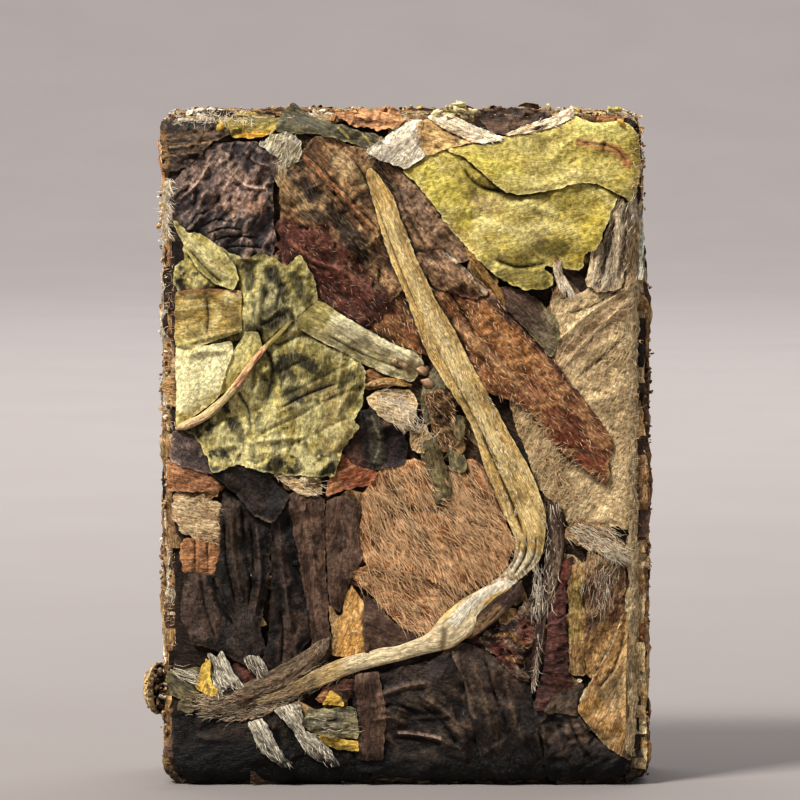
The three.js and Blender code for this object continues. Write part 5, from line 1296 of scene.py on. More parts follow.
    Leaf("right_edge_strip", "tan", 84, ((10.85, 28.2), (11.3, 28.5), (11.6, 27.6), (11.55, 26), (11.5, 24),
        (10.9, 24), (10.75, 25.4), (11, 27)), thick=0.14, wrinkle=0.06, blotch=0.3, rag=0.06, streak=0.5,
        strokes=(("#B79A74", 0.6, 0.7, (11.2, 27.6), (11.2, 24.4)), ("#D9CCB4", 0.25, 0.8, (11.2, 28.2),
        (11.3, 27.4))), down=(16, 0.4, 80, 20, "silver_down")),
)

# Stalks: name, kind, flatness, how far it is pressed in, colour strokes, then x, z and width along it
FRONT_STALKS = (
    ("side_twig", "bark", 0.35, 0.5, (("#7D6A52", 1, 0.7, (-4, 6.6), (-8, 4)),), ((-3.6, 6.9, 0.5),
        (-4.6, 5.9, 0.9), (-6, 5, 1), (-7.6, 4.3, 0.8), (-8.6, 3.9, 0.4))),
    ("hairy_underside", "bark", 0.6, 0.4, (("#8A6A44", 0.4, 0.6, (4.6, 8.3), (3, 7)),), ((5.8, 9.75, 0.5),
        (5.4, 9.2, 0.8), (4.7, 8.55, 0.9), (3.8, 7.7, 0.9), (2.8, 6.9, 0.6))),
    ("downy_strand", "bark", 0.35, 0.5, (), ((7.3, 13.6, 0.9), (7.4, 12, 1), (7.3, 10.2, 0.8),
        (6.9, 8.4, 0.5), (6.6, 6.8, 0.5), (6.5, 5.4, 0.45), (6.3, 4.2, 0.2))),
    ("stem_tail", "straw", 0.4, 0.35, (("#E4D2AC", 0.9, 0.8, (3.4, 8.2), (2.4, 7.3), (0, 6.2), (-2.4, 5.6)),
        ("#B09A72", 0.7, 0.6, (-3, 5.4), (-4.2, 4.9)), ("#857150", 0.9, 0.75, (-4.8, 4.7), (-6, 4.1),
        (-8, 3.6)), ("#F8EED6", 0.34, 0.9, (5.3, 9.75), (4, 9.15), (3, 8.4), (2.5, 7.8)),
        ("#3A2C1E", 0.3, 0.85, (5.6, 9.3), (4.4, 8.4)), ("#6B5638", 0.18, 0.8, (1.9, 6.4), (2, 7.4))),
        ((5.6, 9.75, 0.3), (4.7, 9.3, 0.7), (3.6, 8.6, 1.15), (2.8, 7.75, 1.5), (2.1, 7.1, 1.45),
        (1.4, 6.7, 1.05), (0.2, 6.3, 0.8), (-1.2, 5.95, 0.8), (-2.8, 5.5, 0.9), (-4.2, 4.9, 0.85),
        (-5.5, 4.35, 0.65), (-6.6, 3.95, 0.4), (-7.6, 3.7, 0.15))),
    ("leaf_midrib", "straw", 0.9, 0.1, (("#E2C990", 1, 0.9, (-5.6, 22.4), (-11, 17.2)),
        ("#8F7F3E", 0.5, 0.85, (-6.5, 21.4), (-5.4, 22.5)), ("#DFA981", 0.5, 0.6, (-8, 19.4), (-7, 20.9)),
        ("#A4553A", 0.06, 0.9, (-6.9, 21), (-7.3, 20.4)), ("#A4553A", 0.06, 0.9, (-7.6, 20), (-8.2, 19.3)),
        ("#8A4A34", 0.12, 0.8, (-10.3, 17.4)), ("#DCAE86", 0.6, 0.5, (-10, 17.7), (-11, 17.2))),
        ((-11.15, 17.15, 0.4), (-9.9, 17.7, 0.44), (-8.9, 18.5, 0.4), (-8.2, 19.3, 0.34), (-7.4, 20.4, 0.3),
        (-6.8, 21.1, 0.26), (-6, 21.9, 0.2), (-5.4, 22.5, 0.12))),
    ("orange_sliver", "crumb", 0.5, 0.4, (), ((3, 26.1, 0.25), (3.8, 24.9, 0.42), (4.6, 23.9, 0.35),
        (4.95, 23.2, 0.2))),
    ("orange_sliver", "crumb", 0.5, 0.4, (), ((-1.9, 19.3, 0.3), (-0.8, 19.5, 0.35), (0.4, 19.3, 0.25))),
    ("white_shoot", "cream", 0.6, 0.1, (("#7A4634", 0.3, 0.8, (7.45, 25.5)),), ((7.45, 25.6, 0.35),
        (7.5, 25, 0.45), (7.7, 24.3, 0.4), (7.9, 23.6, 0.2))),
    ("white_shoot", "cream", 0.6, 0.1, (), ((7.6, 24.9, 0.3), (7.95, 24.2, 0.3), (8.5, 23.5, 0.15))),
)

# Bundles of long hairs: width, count, length, spread in degrees, colour and the line they follow
FRONT_TUFTS = (
    (0.8, 110, 0.6, 9, "silver_down", ((7.3, 13.6), (7.4, 12), (7.2, 10.2), (6.9, 8.4))),
    (0.8, 90, 0.6, 9, "grey_down", ((7.3, 13.4), (7.4, 12), (7.2, 10.2), (6.9, 8.4))),
    (0.25, 50, 0.5, 12, "silver_down", ((6.7, 7.2), (6.6, 6.2), (6.4, 4.6))),
    (0.7, 70, 0.7, 9, "silver_down", ((8.3, 12.4), (9.4, 11.9), (10.6, 11))),
    (0.7, 90, 0.7, 9, "grey_down", ((8.3, 12.4), (9.4, 11.9), (10.6, 11))),
    (1.1, 60, 0.5, 16, "silver_down", ((10.3, 11.2), (9.9, 9.8), (9.7, 8.6))),
    (1.2, 140, 0.5, 16, "grey_down", ((10.2, 11.2), (9.8, 9.6), (9.6, 8.2))),
    (0.6, 50, 0.5, 14, "grey_down", ((9.4, 11.6), (9, 10.2), (8.8, 9.2))),
    (0.5, 90, 0.6, 9, "silver_down", ((6.5, 10.6), (6.6, 9.6), (6.5, 8.2))),
    (0.25, 40, 0.8, 10, "silver_down", ((7.7, 25.4), (7.6, 24.6), (8.1, 23.8))),
    (0.5, 50, 0.5, 30, "silver_down", ((-5.4, 31.4), (-5.8, 30.6), (-6, 30))),
    (0.35, 220, 0.5, 70, "silver_down", ((-11.45, 29.4), (-11.55, 28.4), (-11.62, 27.4), (-11.6, 26.6))),
    (0.6, 50, 0.7, 12, "silver_down", ((-11.4, 5.4), (-10.9, 5.2), (-10.3, 5))),
    (1.1, 420, 0.5, 14, "grey_down", ((-3.4, 5.4), (-5.5, 4.25), (-8.6, 3.5), (-10.4, 3.7))),
    (0.9, 200, 0.5, 14, "brown_down", ((-3.6, 5.4), (-5.5, 4.3), (-8.6, 3.6), (-10.4, 3.8))),
    (0.8, 120, 0.5, 16, "brown_down", ((-4, 6.5), (-5.5, 5.3), (-8, 4))),
    (0.5, 60, 0.5, 24, "silver_down", ((0.8, 31.6), (-0.4, 31), (-1.6, 30.6))),
    (1.0, 70, 0.4, 12, "silver_down", ((1.4, 22.6), (3.4, 18.8), (5.2, 15), (6.1, 12))),
    (0.9, 70, 0.6, 30, "golden_down", ((6.6, 16.6), (7.4, 15.4), (7.8, 14))),
    (0.8, 60, 0.6, 40, "silver_down", ((-1.4, 18.6), (-0.2, 18.6), (0.6, 17.4))),
    (0.6, 60, 0.8, 8, "grey_down", ((10.6, 28.2), (10.3, 26.4), (9.8, 24.4))),
    (0.8, 130, 0.7, 12, "golden_down", ((-1.6, 14.4), (-0.4, 13.2), (0.8, 11.8))),
    (0.7, 70, 0.7, 16, "golden_down", ((1.6, 13.6), (3, 12.6), (4.6, 12))),
    (0.6, 70, 0.7, 16, "golden_down", ((-0.8, 10.4), (0.6, 9.6), (2.2, 8.6))),
    (0.8, 120, 0.7, 12, "golden_down", ((2.2, 15.2), (3, 13.8), (4.4, 12.8))),
    (3.6, 260, 0.3, 150, "silver_down", ((-9.2, 32.1), (-9.2, 32.6))),
    (3, 40, 0.3, 90, "golden_down", ((11.1, 30.4), (11.5, 30.4))),
    (9, 110, 0.3, 100, "golden_down", ((-11.2, 22), (-11.5, 22))),
    (5, 70, 0.3, 100, "golden_down", ((-11.2, 9), (-11.5, 9))),
    (9, 60, 0.3, 100, "golden_down", ((11.2, 17), (11.5, 17))),
)

# Small hard lumps on the front: x, z, width and kind
FRONT_LUMPS = (
    (0.95, 20.05, 0.85, "bead"), (1.2, 19.4, 0.8, "bead"), (0.1, 20.25, 0.45, "bead"),
    (-0.45, 20.5, 0.35, "bead"), (1.6, 18.9, 0.4, "brown"), (8.6, 4.8, 0.35, "cream"),
    (-8.9, 31.9, 0.5, "gold"), (5, 7, 0.4, "rust"), (8.4, 32.5, 0.4, "gold"), (9.4, 32.5, 0.5, "brown"),
    (10.6, 32.1, 0.6, "gold"), (-3.4, 32.4, 0.45, "rust"),
)

# The back isn't in the photograph: a plainer lay of the same kinds. x, z, length, width, turn and kind
BACK_LEAVES = (
    (-10.4, 14.4, 8, 2.1, 88, "brown"), (10.4, 10.4, 7.6, 2, 92, "rust"), (10.4, 22.4, 8, 2, 89, "brown"),
    (-10.5, 22.8, 6.4, 1.9, 91, "tan"), (-3.8, 1.3, 8.6, 2.2, 1, "brown"), (5, 1.2, 8, 2, -2, "rust"),
    (9.8, 1.6, 4, 2.2, 30, "amber"), (-9.6, 31.4, 4.4, 2, -24, "amber"), (3.6, 31.7, 8, 2.1, 2, "panel"),
    (-5, 32, 7, 1.8, -2, "rust"), (10.2, 31.2, 3.6, 2, 50, "tan"), (-10.5, 7.6, 5.4, 1.9, 94, "rust"),
    (10.5, 16, 5, 1.8, 88, "amber"), (-10.4, 1.6, 3.4, 2, -40, "panel"), (-4.6, 24.4, 16, 9, 112, "brown"),
    (6, 25, 14, 8.6, 62, "black"), (-6.6, 9.6, 15, 8.6, 82, "tan"), (5.4, 9.2, 15.4, 9.4, 104, "green"),
    (0.4, 17.4, 18, 6.4, 36, "rust"), (-8.7, 18.6, 9, 4.2, 78, "golden"), (8.7, 16.6, 8.4, 4, 96, "plum"),
    (-2, 29.4, 9.5, 4.2, 8, "yellow"), (0.8, 3.6, 11, 4.4, -8, "panel"), (-8, 3.4, 7, 4, 24, "amber"),
    (8.2, 29.4, 6.4, 3.8, 138, "green"), (-0.6, 10.4, 8, 3.2, 62, "golden"),
    (-9.2, 27.6, 5, 1.8, 70, "silver"), (9.4, 4.4, 5.4, 2, 96, "silver"),
    (3.4, 21.6, 5.6, 1.8, 20, "silver"),
)
BACK_STALKS = (
    ("back_stem", "straw", 0.6, 0.3, (), ((-9, 27.4, 0.9), (-5.2, 24.6, 1.1), (-1.6, 20.6, 1.3),
        (2.2, 15, 1.5), (4.8, 9.6, 1.6), (6, 4, 1.4))),
    ("back_twig", "petiole", 0.6, 0.3, (), ((9.4, 25.6, 0.7), (6.8, 22.8, 0.9), (4.6, 20.4, 0.9),
        (3.4, 18.2, 0.8))),
)
LEAF_PROFILE = (0.24, 0.78, 1, 0.92, 0.66, 0.22)

# Heaps on the top: x, y, length, height and kind
TOP_LUMPS = (
    (2.6, -3, 2.4, 0.8, "petiole"), (-1, -2.9, 0.9, 0.6, "rust"), (-2.4, -2.6, 0.7, 0.5, "amber"),
    (-4, -2.6, 1, 0.4, "cream"), (-9.6, -2.6, 2.6, 0.4, "cream"), (5.4, -2.6, 3.2, 0.4, "bark"),
    (8.4, -2.6, 0.8, 0.45, "gold"), (10.2, -2.2, 1.6, 0.4, "yellow"), (7.2, 1.4, 1.6, 0.4, "tan"),
    (0.6, 1.8, 1.4, 0.4, "gold"), (-6.2, 2, 1.6, 0.4, "rust"),
)


# Loose pieces, sides and core

CHIP_KINDS = ("brown", "panel", "black", "rust", "tan", "maroon", "slate", "amber")


def scatter_chips(face, count, seed, prefix):
    """Small broken chips laid over a whole face, for the gaps between the larger leaves."""
    rng = np.random.default_rng(seed)
    chips = {}
    for i in range(count):
        kind = CHIP_KINDS[rng.integers(len(CHIP_KINDS))]
        length = rng.uniform(0.8, 3.2)
        width = length * rng.uniform(0.3, 0.8)
        turn = rng.uniform(0, 180)
        x = rng.uniform(-0.455, 0.455) * size("width")
        z = rng.uniform(0.09, 0.955) * size("height") - FOOT_MM
        outline = chip_outline(x, z, length, width, turn, rng)
        leaf = Leaf(prefix, kind, turn, outline, thick=0.1, wrinkle=0.08, wrinkle_mm=0.6, curl=0.12)
        chips.setdefault(kind, []).append(face.lay(leaf, seed + 17 * i, COARSE_MM))
    return {(f"{prefix}_{kind}", kind): parts for kind, parts in chips.items()}


def chip_outline(x, z, length, width, turn, rng):
    """A broken chip: six to eight uneven corners."""
    count = int(rng.integers(6, 9))
    angle = 2 * np.pi * (np.arange(count) + rng.uniform(-0.25, 0.25, count)) / count
    reach = rng.uniform(0.75, 1.2, count)
    return set_out(x, z, reach * np.cos(angle) * length / 2, reach * np.sin(angle) * width / 2, turn)


def tea_leaf_outline(x, z, length, width, turn):
    """A whole tea leaf: a pointed oval, fuller below its middle."""
    along = np.linspace(-0.46, 0.46, len(LEAF_PROFILE)) * length
    half = np.array(LEAF_PROFILE) * width / 2
    a = np.concatenate([[-length / 2], along, [length / 2], along[::-1]])
    b = np.concatenate([[0], -half, [0], half[::-1]])
    return set_out(x, z, a, b, turn)


def edge_line():
    """The brick's outline from the front: run, x, height and outward direction, from its foot's middle."""
    half, tall, radius = size("width") / 2, size("height"), size("shoulder")
    corners = ((half - radius, radius, -90), (half - radius, tall - radius, 0),
               (radius - half, tall - radius, 90), (radius - half, radius, 180))
    rows = [(0, 0, 0, -1)]
    for x, height, start in corners:
        for turn in np.radians(np.linspace(start, start + 90, 12)):
            c, s = math.cos(turn), math.sin(turn)
            rows.append((x + radius * c, height + radius * s, c, s))
    rows.append((0, 0, 0, -1))
    rows = np.array(rows)
    run = np.concatenate([[0], np.cumsum(np.hypot(*np.diff(rows[:, :2], axis=0).T))])
    return run, rows


def on_edge(line, run):
    """x, height and outward direction at a run along the outline."""
    runs, rows = line
    return [np.interp(np.mod(run, runs[-1]), runs, rows[:, k]) for k in range(4)]


def edge_inset(y):
    """How far the sides fall back towards the broad faces."""
    return rounded(np.abs(y) - size("depth") / 2 + size("shoulder"))


DARK_BAND_MM = 15.5, 21.5  # between these heights the right side is of dark layers
BAND_BLUR_MM = 3  # over which the band ends, to either side of each height

# Places round the sides, by their outward direction's share to the side or up
ON_SIDE = 0.6
ON_TOP = 0.7
UNDERNEATH = -0.5

# Corners of a layer's end: side, how far in, and share of its full thickness
LAYER_CORNERS = (1, 0, 0.7), (-1, 0, 0.7), (-1, LAYER_DEPTH_MM, 1), (1, LAYER_DEPTH_MM, 1)

# The curled flake
FLAKE_MIDDLE_MM = -12.0, -2.9, 4.3
FLAKE_RADIUS_MM = 0.76
FLAKE_HALF_MM = 1.2  # of its height
FLAKE_OPEN = 1.06  # above 1, so that its ends stay open
FLAKE_HOLLOW = 0.52  # inner radius as a share of the outer
RIM_CRUMBS = 240
HOLLOW_CRUMBS = 160

# Kinds of layer end, with their shares on the sides, in the right side's dark band and on the top
EDGE_SHARES = {
    "brown": (0.24, 0.26, 0.2), "panel": (0.1, 0.26, 0.14), "black": (0.06, 0.2, 0.1),
    "rust": (0.1, 0.08, 0.14), "tan": (0.24, 0.08, 0.16), "amber": (0.16, 0.06, 0.14),
    "cream": (0.06, 0.04, 0.06), "silver": (0.04, 0.02, 0.06),
}


def dark_band(nx, height):
    """Whether a place on the sides is in the right side's dark band."""
    return nx > 0 and DARK_BAND_MM[0] < height < DARK_BAND_MM[1]


def edge_kind(rng, nx, nz, height):
    """A kind for one layer end or crumb, by the side that it is on."""
    shares = np.array(list(EDGE_SHARES.values()))
    column = 2 if nz > ON_TOP else 1 if dark_band(nx, height) else 0
    weights = shares[:, column] / shares[:, column].sum()
    return list(EDGE_SHARES)[rng.choice(len(weights), p=weights)]


def side_layers(count, seed):
    """Ends of the pressed layers all round the sides: thin ribbons on edge, broken along their length."""
    rng = np.random.default_rng(seed)
    line = edge_line()
    layers = {}
    for i in range(count):
        middle = rng.uniform(0, line[0][-1])
        length = rng.uniform(0.6, 4.5)
        y = rng.uniform(-1, 1) * (size("depth") / 2 - 0.4)
        thick = rng.uniform(0.04, 0.15)
        stand = rng.uniform(-0.2, 0.2)
        slope = rng.normal(0, 0.06)
        level, across, up = (float(v) for v in on_edge(line, middle)[1:])
        kind = edge_kind(rng, across, up, level)
        # A random tone times the painted light of the sides
        shade = rng.uniform(0.75, 1.2) * side_light(across, level)
        steps = max(4, int(length / LAYER_STEP_MM))
        share = np.linspace(-1, 1, steps)
        run = middle + share * length / 2
        x, height, nx, nz = on_edge(line, run)
        taper = np.sqrt(np.clip(1 - share**2, 0, 1))
        ragged = noise(run / 0.32, y * 3, seed + 1) + 0.8 * noise(run / 0.12, y * 5, seed + 2)
        lumpy = noise(run / 1.6, y / 0.9, seed + 4)
        reach = (stand + 0.12 * lumpy + 0.07 * ragged) * taper - edge_inset(y) + right_reach(nx, height)
        reach = np.where(nz < UNDERNEATH, np.minimum(reach, -LOWEST_MM), reach)
        bend = y + slope * share * length + 0.1 * noise(run / 0.7, i, seed + 3)
        half = thick / 2 * (0.35 + 0.65 * taper)
        ring = []
        for side, depth, full in LAYER_CORNERS:
            out = reach - depth
            pz = np.maximum(height + nz * out, LOWEST_MM)
            ring.append(np.column_stack([x + nx * out + SHIFT_X, bend + side * full * half + SHIFT_Y, pz]))
        rings = np.stack(ring, axis=1)
        tint = np.tile(base_colour(kind) * shade, (steps, 4, 1))
        wear_and_light = np.repeat(0.35 + 0.35 * ragged[:, None], 2, axis=1)
        tint[:, :2] = blend(tint[:, :2], light_colour(kind) * shade, wear_and_light)
        # Painted shade on the inner edges, where the layer goes in between the others
        tint[:, 2:] *= 0.35
        tint = tint * foot_light(rings[:, :, 2])[:, :, None]
        sideways = np.tile([half.max(), -half.max(), -1, 1], (steps, 1))
        grain = np.stack([np.repeat(run[:, None], 4, 1), sideways], -1)
        layers.setdefault(kind, []).append(outward(loft(rings, grain, np.clip(tint, 0.002, 1))))
    add_pieces("side_layers", layers)


def outward(part):
    """A closed part with its triangles facing out."""
    a, b, c = (part.points[part.triangles[:, k]] - part.points.mean(0) for k in range(3))
    if np.einsum("ij,ij->i", a, np.cross(b, c)).sum() < 0:
        part.triangles = part.triangles[:, ::-1]
    return part


@cache
def shard_shape():
    """Points and triangles of an even twelve-cornered solid, to be broken into crumbs."""
    golden = (1 + 5**0.5) / 2
    seeds = np.array([(one, two * golden, 0) for one in (-1, 1) for two in (-1, 1)])
    points = np.vstack([seeds, seeds[:, [2, 0, 1]], seeds[:, [1, 2, 0]]])
    solid = bmesh.new()
    for point in points:
        solid.verts.new(point)
    bmesh.ops.convex_hull(solid, input=solid.verts)
    bmesh.ops.recalc_face_normals(solid, faces=solid.faces)
    solid.verts.index_update()
    faces = np.array([[v.index for v in face.verts] for face in solid.faces])
    solid.free()
    return points / np.linalg.norm(points[0]), faces


def crumb_part(centre, radii, kind, rng, shade=1.0, wear_and_light=1.0, turned=1.0, even=0.0):
    """One broken crumb: corners pushed in and out, turned any way, paler where it was broken last."""
    points, faces = shard_shape()
    turn = np.linalg.qr(np.eye(3) * (1 - turned) + turned * rng.normal(size=(3, 3)))[0]
    push = rng.uniform(0.65 + 0.35 * even, 1.25 - 0.2 * even, len(points))
    placed = (points * push[:, None] * radii) @ turn.T + centre
    placed[:, 2] = np.maximum(placed[:, 2], LOWEST_MM)
    tint = np.tile(base_colour(kind) * shade, (len(points), 1))
    # The paler colour is scaled by an argument that carries painted light for the side crumbs
    tint = blend(tint, light_colour(kind) * wear_and_light, rng.uniform(0, 0.7, len(points)))
    tint = tint * foot_light(placed[:, 2])[:, None]
    return outward(Part(placed, faces, points[:, :2] * max(radii), tint))


def foot_light(height):
    """Share of light left near the foot, where the brick stands in its own shade."""
    return 1 - 0.92 * smooth_step(1.6, 0.5, height)


def side_crumbs(count, seed):
    """Crumbs in clumps between the layers of the sides and on the top."""
    rng = np.random.default_rng(seed)
    line = edge_line()
    crumbs = {}
    for _ in range(count):
        run = rng.uniform(0, line[0][-1])
        x, height, nx, nz = (float(v) for v in on_edge(line, run))
        y = rng.uniform(-0.93, 0.93) * size("depth") / 2
        kind = edge_kind(rng, nx, nz, height)
        radii = rng.uniform(0.03, 0.11) * rng.uniform(0.4, 1.8, 3)
        clump = smooth_step(-0.4, 0.5, noise(run, y, seed + 5))
        out = rng.uniform(-0.02, 0.3) * clump - edge_inset(y) + right_reach(nx, height)
        shade = rng.uniform(0.8, 1.25)
        if nz < UNDERNEATH:
            continue
        # Painted light of the sides, in both of the crumb's colours
        pale = side_light(nx, height)
        centre = np.array([x + nx * out + SHIFT_X, y + SHIFT_Y, height + nz * out])
        part = crumb_part(centre, radii, kind, rng, shade=shade * pale, wear_and_light=pale)
        crumbs.setdefault(kind, []).append(part)
    add_pieces("crumbs", crumbs, BROKEN_DEG)


def right_reach(nx, height):
    """How far the layers of the right side stand out, less towards its top."""
    return smooth_step(ON_SIDE, 0.9, nx) * (0.24 - 0.4 * smooth_step(22, 28, height))


def side_light(nx, height):
    """Painted light on the two sides, which are paler than the face: least on the lower left, with painted
    shade in the right side's dark band.
    """
    if abs(nx) < ON_SIDE:
        return 1.0
    low, high = DARK_BAND_MM
    above = smooth_step(high - BAND_BLUR_MM, high + BAND_BLUR_MM, height)
    if nx < 0:
        return 1.05 + 0.45 * above
    below = smooth_step(low - BAND_BLUR_MM, low + BAND_BLUR_MM, height)
    return 1.5 - 0.7 * below * smooth_step(high + BAND_BLUR_MM, high - BAND_BLUR_MM, height)


def curled_flake(seed):
    """The rolled bit of leaf that stands out at the lower left: a hollow with painted shade on its inner
    wall, and a torn rim with a painted highlight at its left.
    """
    rng = np.random.default_rng(seed)
    middle = np.array(FLAKE_MIDDLE_MM) + np.array([SHIFT_X, SHIFT_Y, FOOT_MM])
    around = np.radians(np.linspace(-40, 222, 30))
    along, turn = np.meshgrid(np.linspace(-1, 1, 26), around, indexing="ij")
    uneven = rough_noise(along * 4, turn * 2, seed)
    radius = FLAKE_RADIUS_MM * np.sqrt(FLAKE_OPEN - along**2) * (1 + 0.16 * uneven)
    tall = middle[2] + FLAKE_HALF_MM * along + 0.12 * noise(turn * 2, along, seed + 1)
    walls = []
    for share in (1, FLAKE_HOLLOW):
        x = middle[0] + share * radius * np.cos(turn)
        y = middle[1] + share * radius * np.sin(turn)
        walls.append(np.stack([x, y, tall], -1))
    rings = np.concatenate([walls[0], walls[1][:, ::-1]], axis=1)
    outside = np.tile(base_colour("amber") * 0.8, along.shape + (1,))
    outside = blend(outside, linear("#C9A468"), smooth_step(-0.2, 0.6, uneven))
    # Painted highlight on the left of the outer wall, which faces the light
    outside = blend(outside, linear("#D9BE88"), smooth_step(3.3, 3.8, turn))
    # Painted shade on the inner wall of the hollow, with brown texture
    hollow = np.tile(linear("#241912"), along.shape + (1,))
    hollow = blend(hollow, linear("#6B4E34"), smooth_step(0, 0.7, uneven))
    # Painted highlight on the torn rim at the left
    hollow[:, -2:] = linear("#C09A60")
    tint = np.concatenate([outside, hollow[:, ::-1]], axis=1)
    grain = np.stack([tall, turn], -1)
    grain = np.concatenate([grain, grain[:, ::-1]], axis=1)
    parts = [outward(loft(rings, grain, tint))]
    for _ in range(RIM_CRUMBS):
        way = math.radians(rng.uniform(90, 228))
        level = rng.uniform(-1, 1)
        reach = rng.uniform(0.42, 0.8) * math.sqrt(FLAKE_OPEN - level**2)
        off = np.array([reach * math.cos(way), reach * math.sin(way), FLAKE_HALF_MM * level])
        kind = ("tan", "amber", "brown", "bark")[rng.integers(0, 4)]
        radii = rng.uniform(0.03, 0.09) * rng.uniform(0.6, 1.5, 3)
        parts.append(crumb_part(middle + off, radii, kind, rng))
    for _ in range(HOLLOW_CRUMBS):
        off = rng.uniform(-1, 1, 3) * np.array([0.4, 0.3, 0.95])
        kind = ("bark", "panel", "umber", "brown")[rng.integers(0, 4)]
        radii = rng.uniform(0.06, 0.14) * rng.uniform(0.6, 1.5, 3)
        parts.append(crumb_part(middle + off, radii, kind, rng))
    add_piece("curled_flake", parts, "bark", BROKEN_DEG)


def pressed_core():
    """The core: a rounded block with broken layers showing on its sides, under everything else."""
    half = np.array([size("width"), size("depth"), size("height")]) / 2
    radius = size("shoulder")
    points, quads = [], []
    for axis in range(3):
        first, second = [k for k in range(3) if k != axis]
        a = np.linspace(-1, 1, int(2 * half[first] / CORE_STEP_MM) + 1) * half[first]
        b = np.linspace(-1, 1, int(2 * half[second] / CORE_STEP_MM) + 1) * half[second]
        i, j = np.meshgrid(np.arange(len(a) - 1), np.arange(len(b) - 1), indexing="ij")
        for side in (-1, 1):
            sheet = np.empty((len(a) * len(b), 3))
            sheet[:, first] = np.repeat(a, len(b))
            sheet[:, second] = np.tile(b, len(a))
            sheet[:, axis] = side * half[axis]
            corner = (i * len(b) + j).ravel() + sum(len(p) for p in points)
            ring = [corner, corner + len(b), corner + len(b) + 1, corner + 1]
            quads.append(np.column_stack(ring if (side > 0) != (axis == 1) else ring[::-1]))
            points.append(sheet)
    points, same = np.unique(np.round(np.vstack(points), 6), axis=0, return_inverse=True)
    quads = same.ravel()[np.vstack(quads)]
    held = np.clip(points, radius - half, half - radius)
    out = unit(points - held)
    x, y, z = points.T
    layers = rough_noise((x + z) / 1.6, y / 0.32, 41) + 0.6 * rough_noise(x - z, y / 0.2 + z, 43)
    broad = np.abs(out[:, 1])
    push = (1 - broad) * (0.2 * layers - 0.3) - 0.12 * broad
    shape = held + out * (radius + push)[:, None]
    shape[:, 2] = np.maximum(shape[:, 2] + half[2], LOWEST_MM)
    tint = np.tile(base_colour("core"), (len(points), 1))
    tint = blend(tint, light_colour("core"), smooth_step(0.1, 0.8, layers))
    tint = blend(tint, dark_colour("core"), smooth_step(0, 0.7, -layers))
    triangles = np.vstack([quads[:, [0, 1, 2]], quads[:, [0, 2, 3]]])
    tint = tint * foot_light(shape[:, 2])[:, None]
    shape = shape + np.array([SHIFT_X, SHIFT_Y, 0])
    part = outward(Part(shape, triangles, np.column_stack([x + z, y + z]), tint))
    core = add_piece("pressed_core", [part], "core")
    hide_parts("tea_brick")


# Materials

RANGE = ("Value", "From Min", "From Max", "To Min", "To Max")  # inputs of a map from range to range


def add_node(tree, kind, inputs=None, **settings):
    """Adds a node with its settings, and sets or links its inputs."""
    node = tree.nodes.new(kind)
    for name, value in settings.items():
        setattr(node, name, value)
    for socket, value in (inputs or {}).items():
        if isinstance(value, bpy.types.NodeSocket):
            tree.links.new(value, node.inputs[socket])
        else:
            node.inputs[socket].default_value = value
    return node


def down_shader(tree, tint, grain):
    """One hair of down: pale, fine and matt."""
    mist = add_node(tree, "ShaderNodeTexNoise", {"Vector": grain, "Scale": 3.0, "Detail": 2.0})
    levels = (mist.outputs["Fac"], 0.3, 0.7, 0.8, 1.1)
    shade = add_node(tree, "ShaderNodeMapRange", dict(zip(RANGE, levels))).outputs["Result"]
    colour = add_node(tree, "ShaderNodeVectorMath", {0: tint, 1: shade}, operation="MULTIPLY")
    return add_node(tree, "ShaderNodeBsdfPrincipled", {
        "Base Color": colour.outputs["Vector"], "Roughness": 0.7, "IOR": 1.5, "Sheen Weight": 0.2})


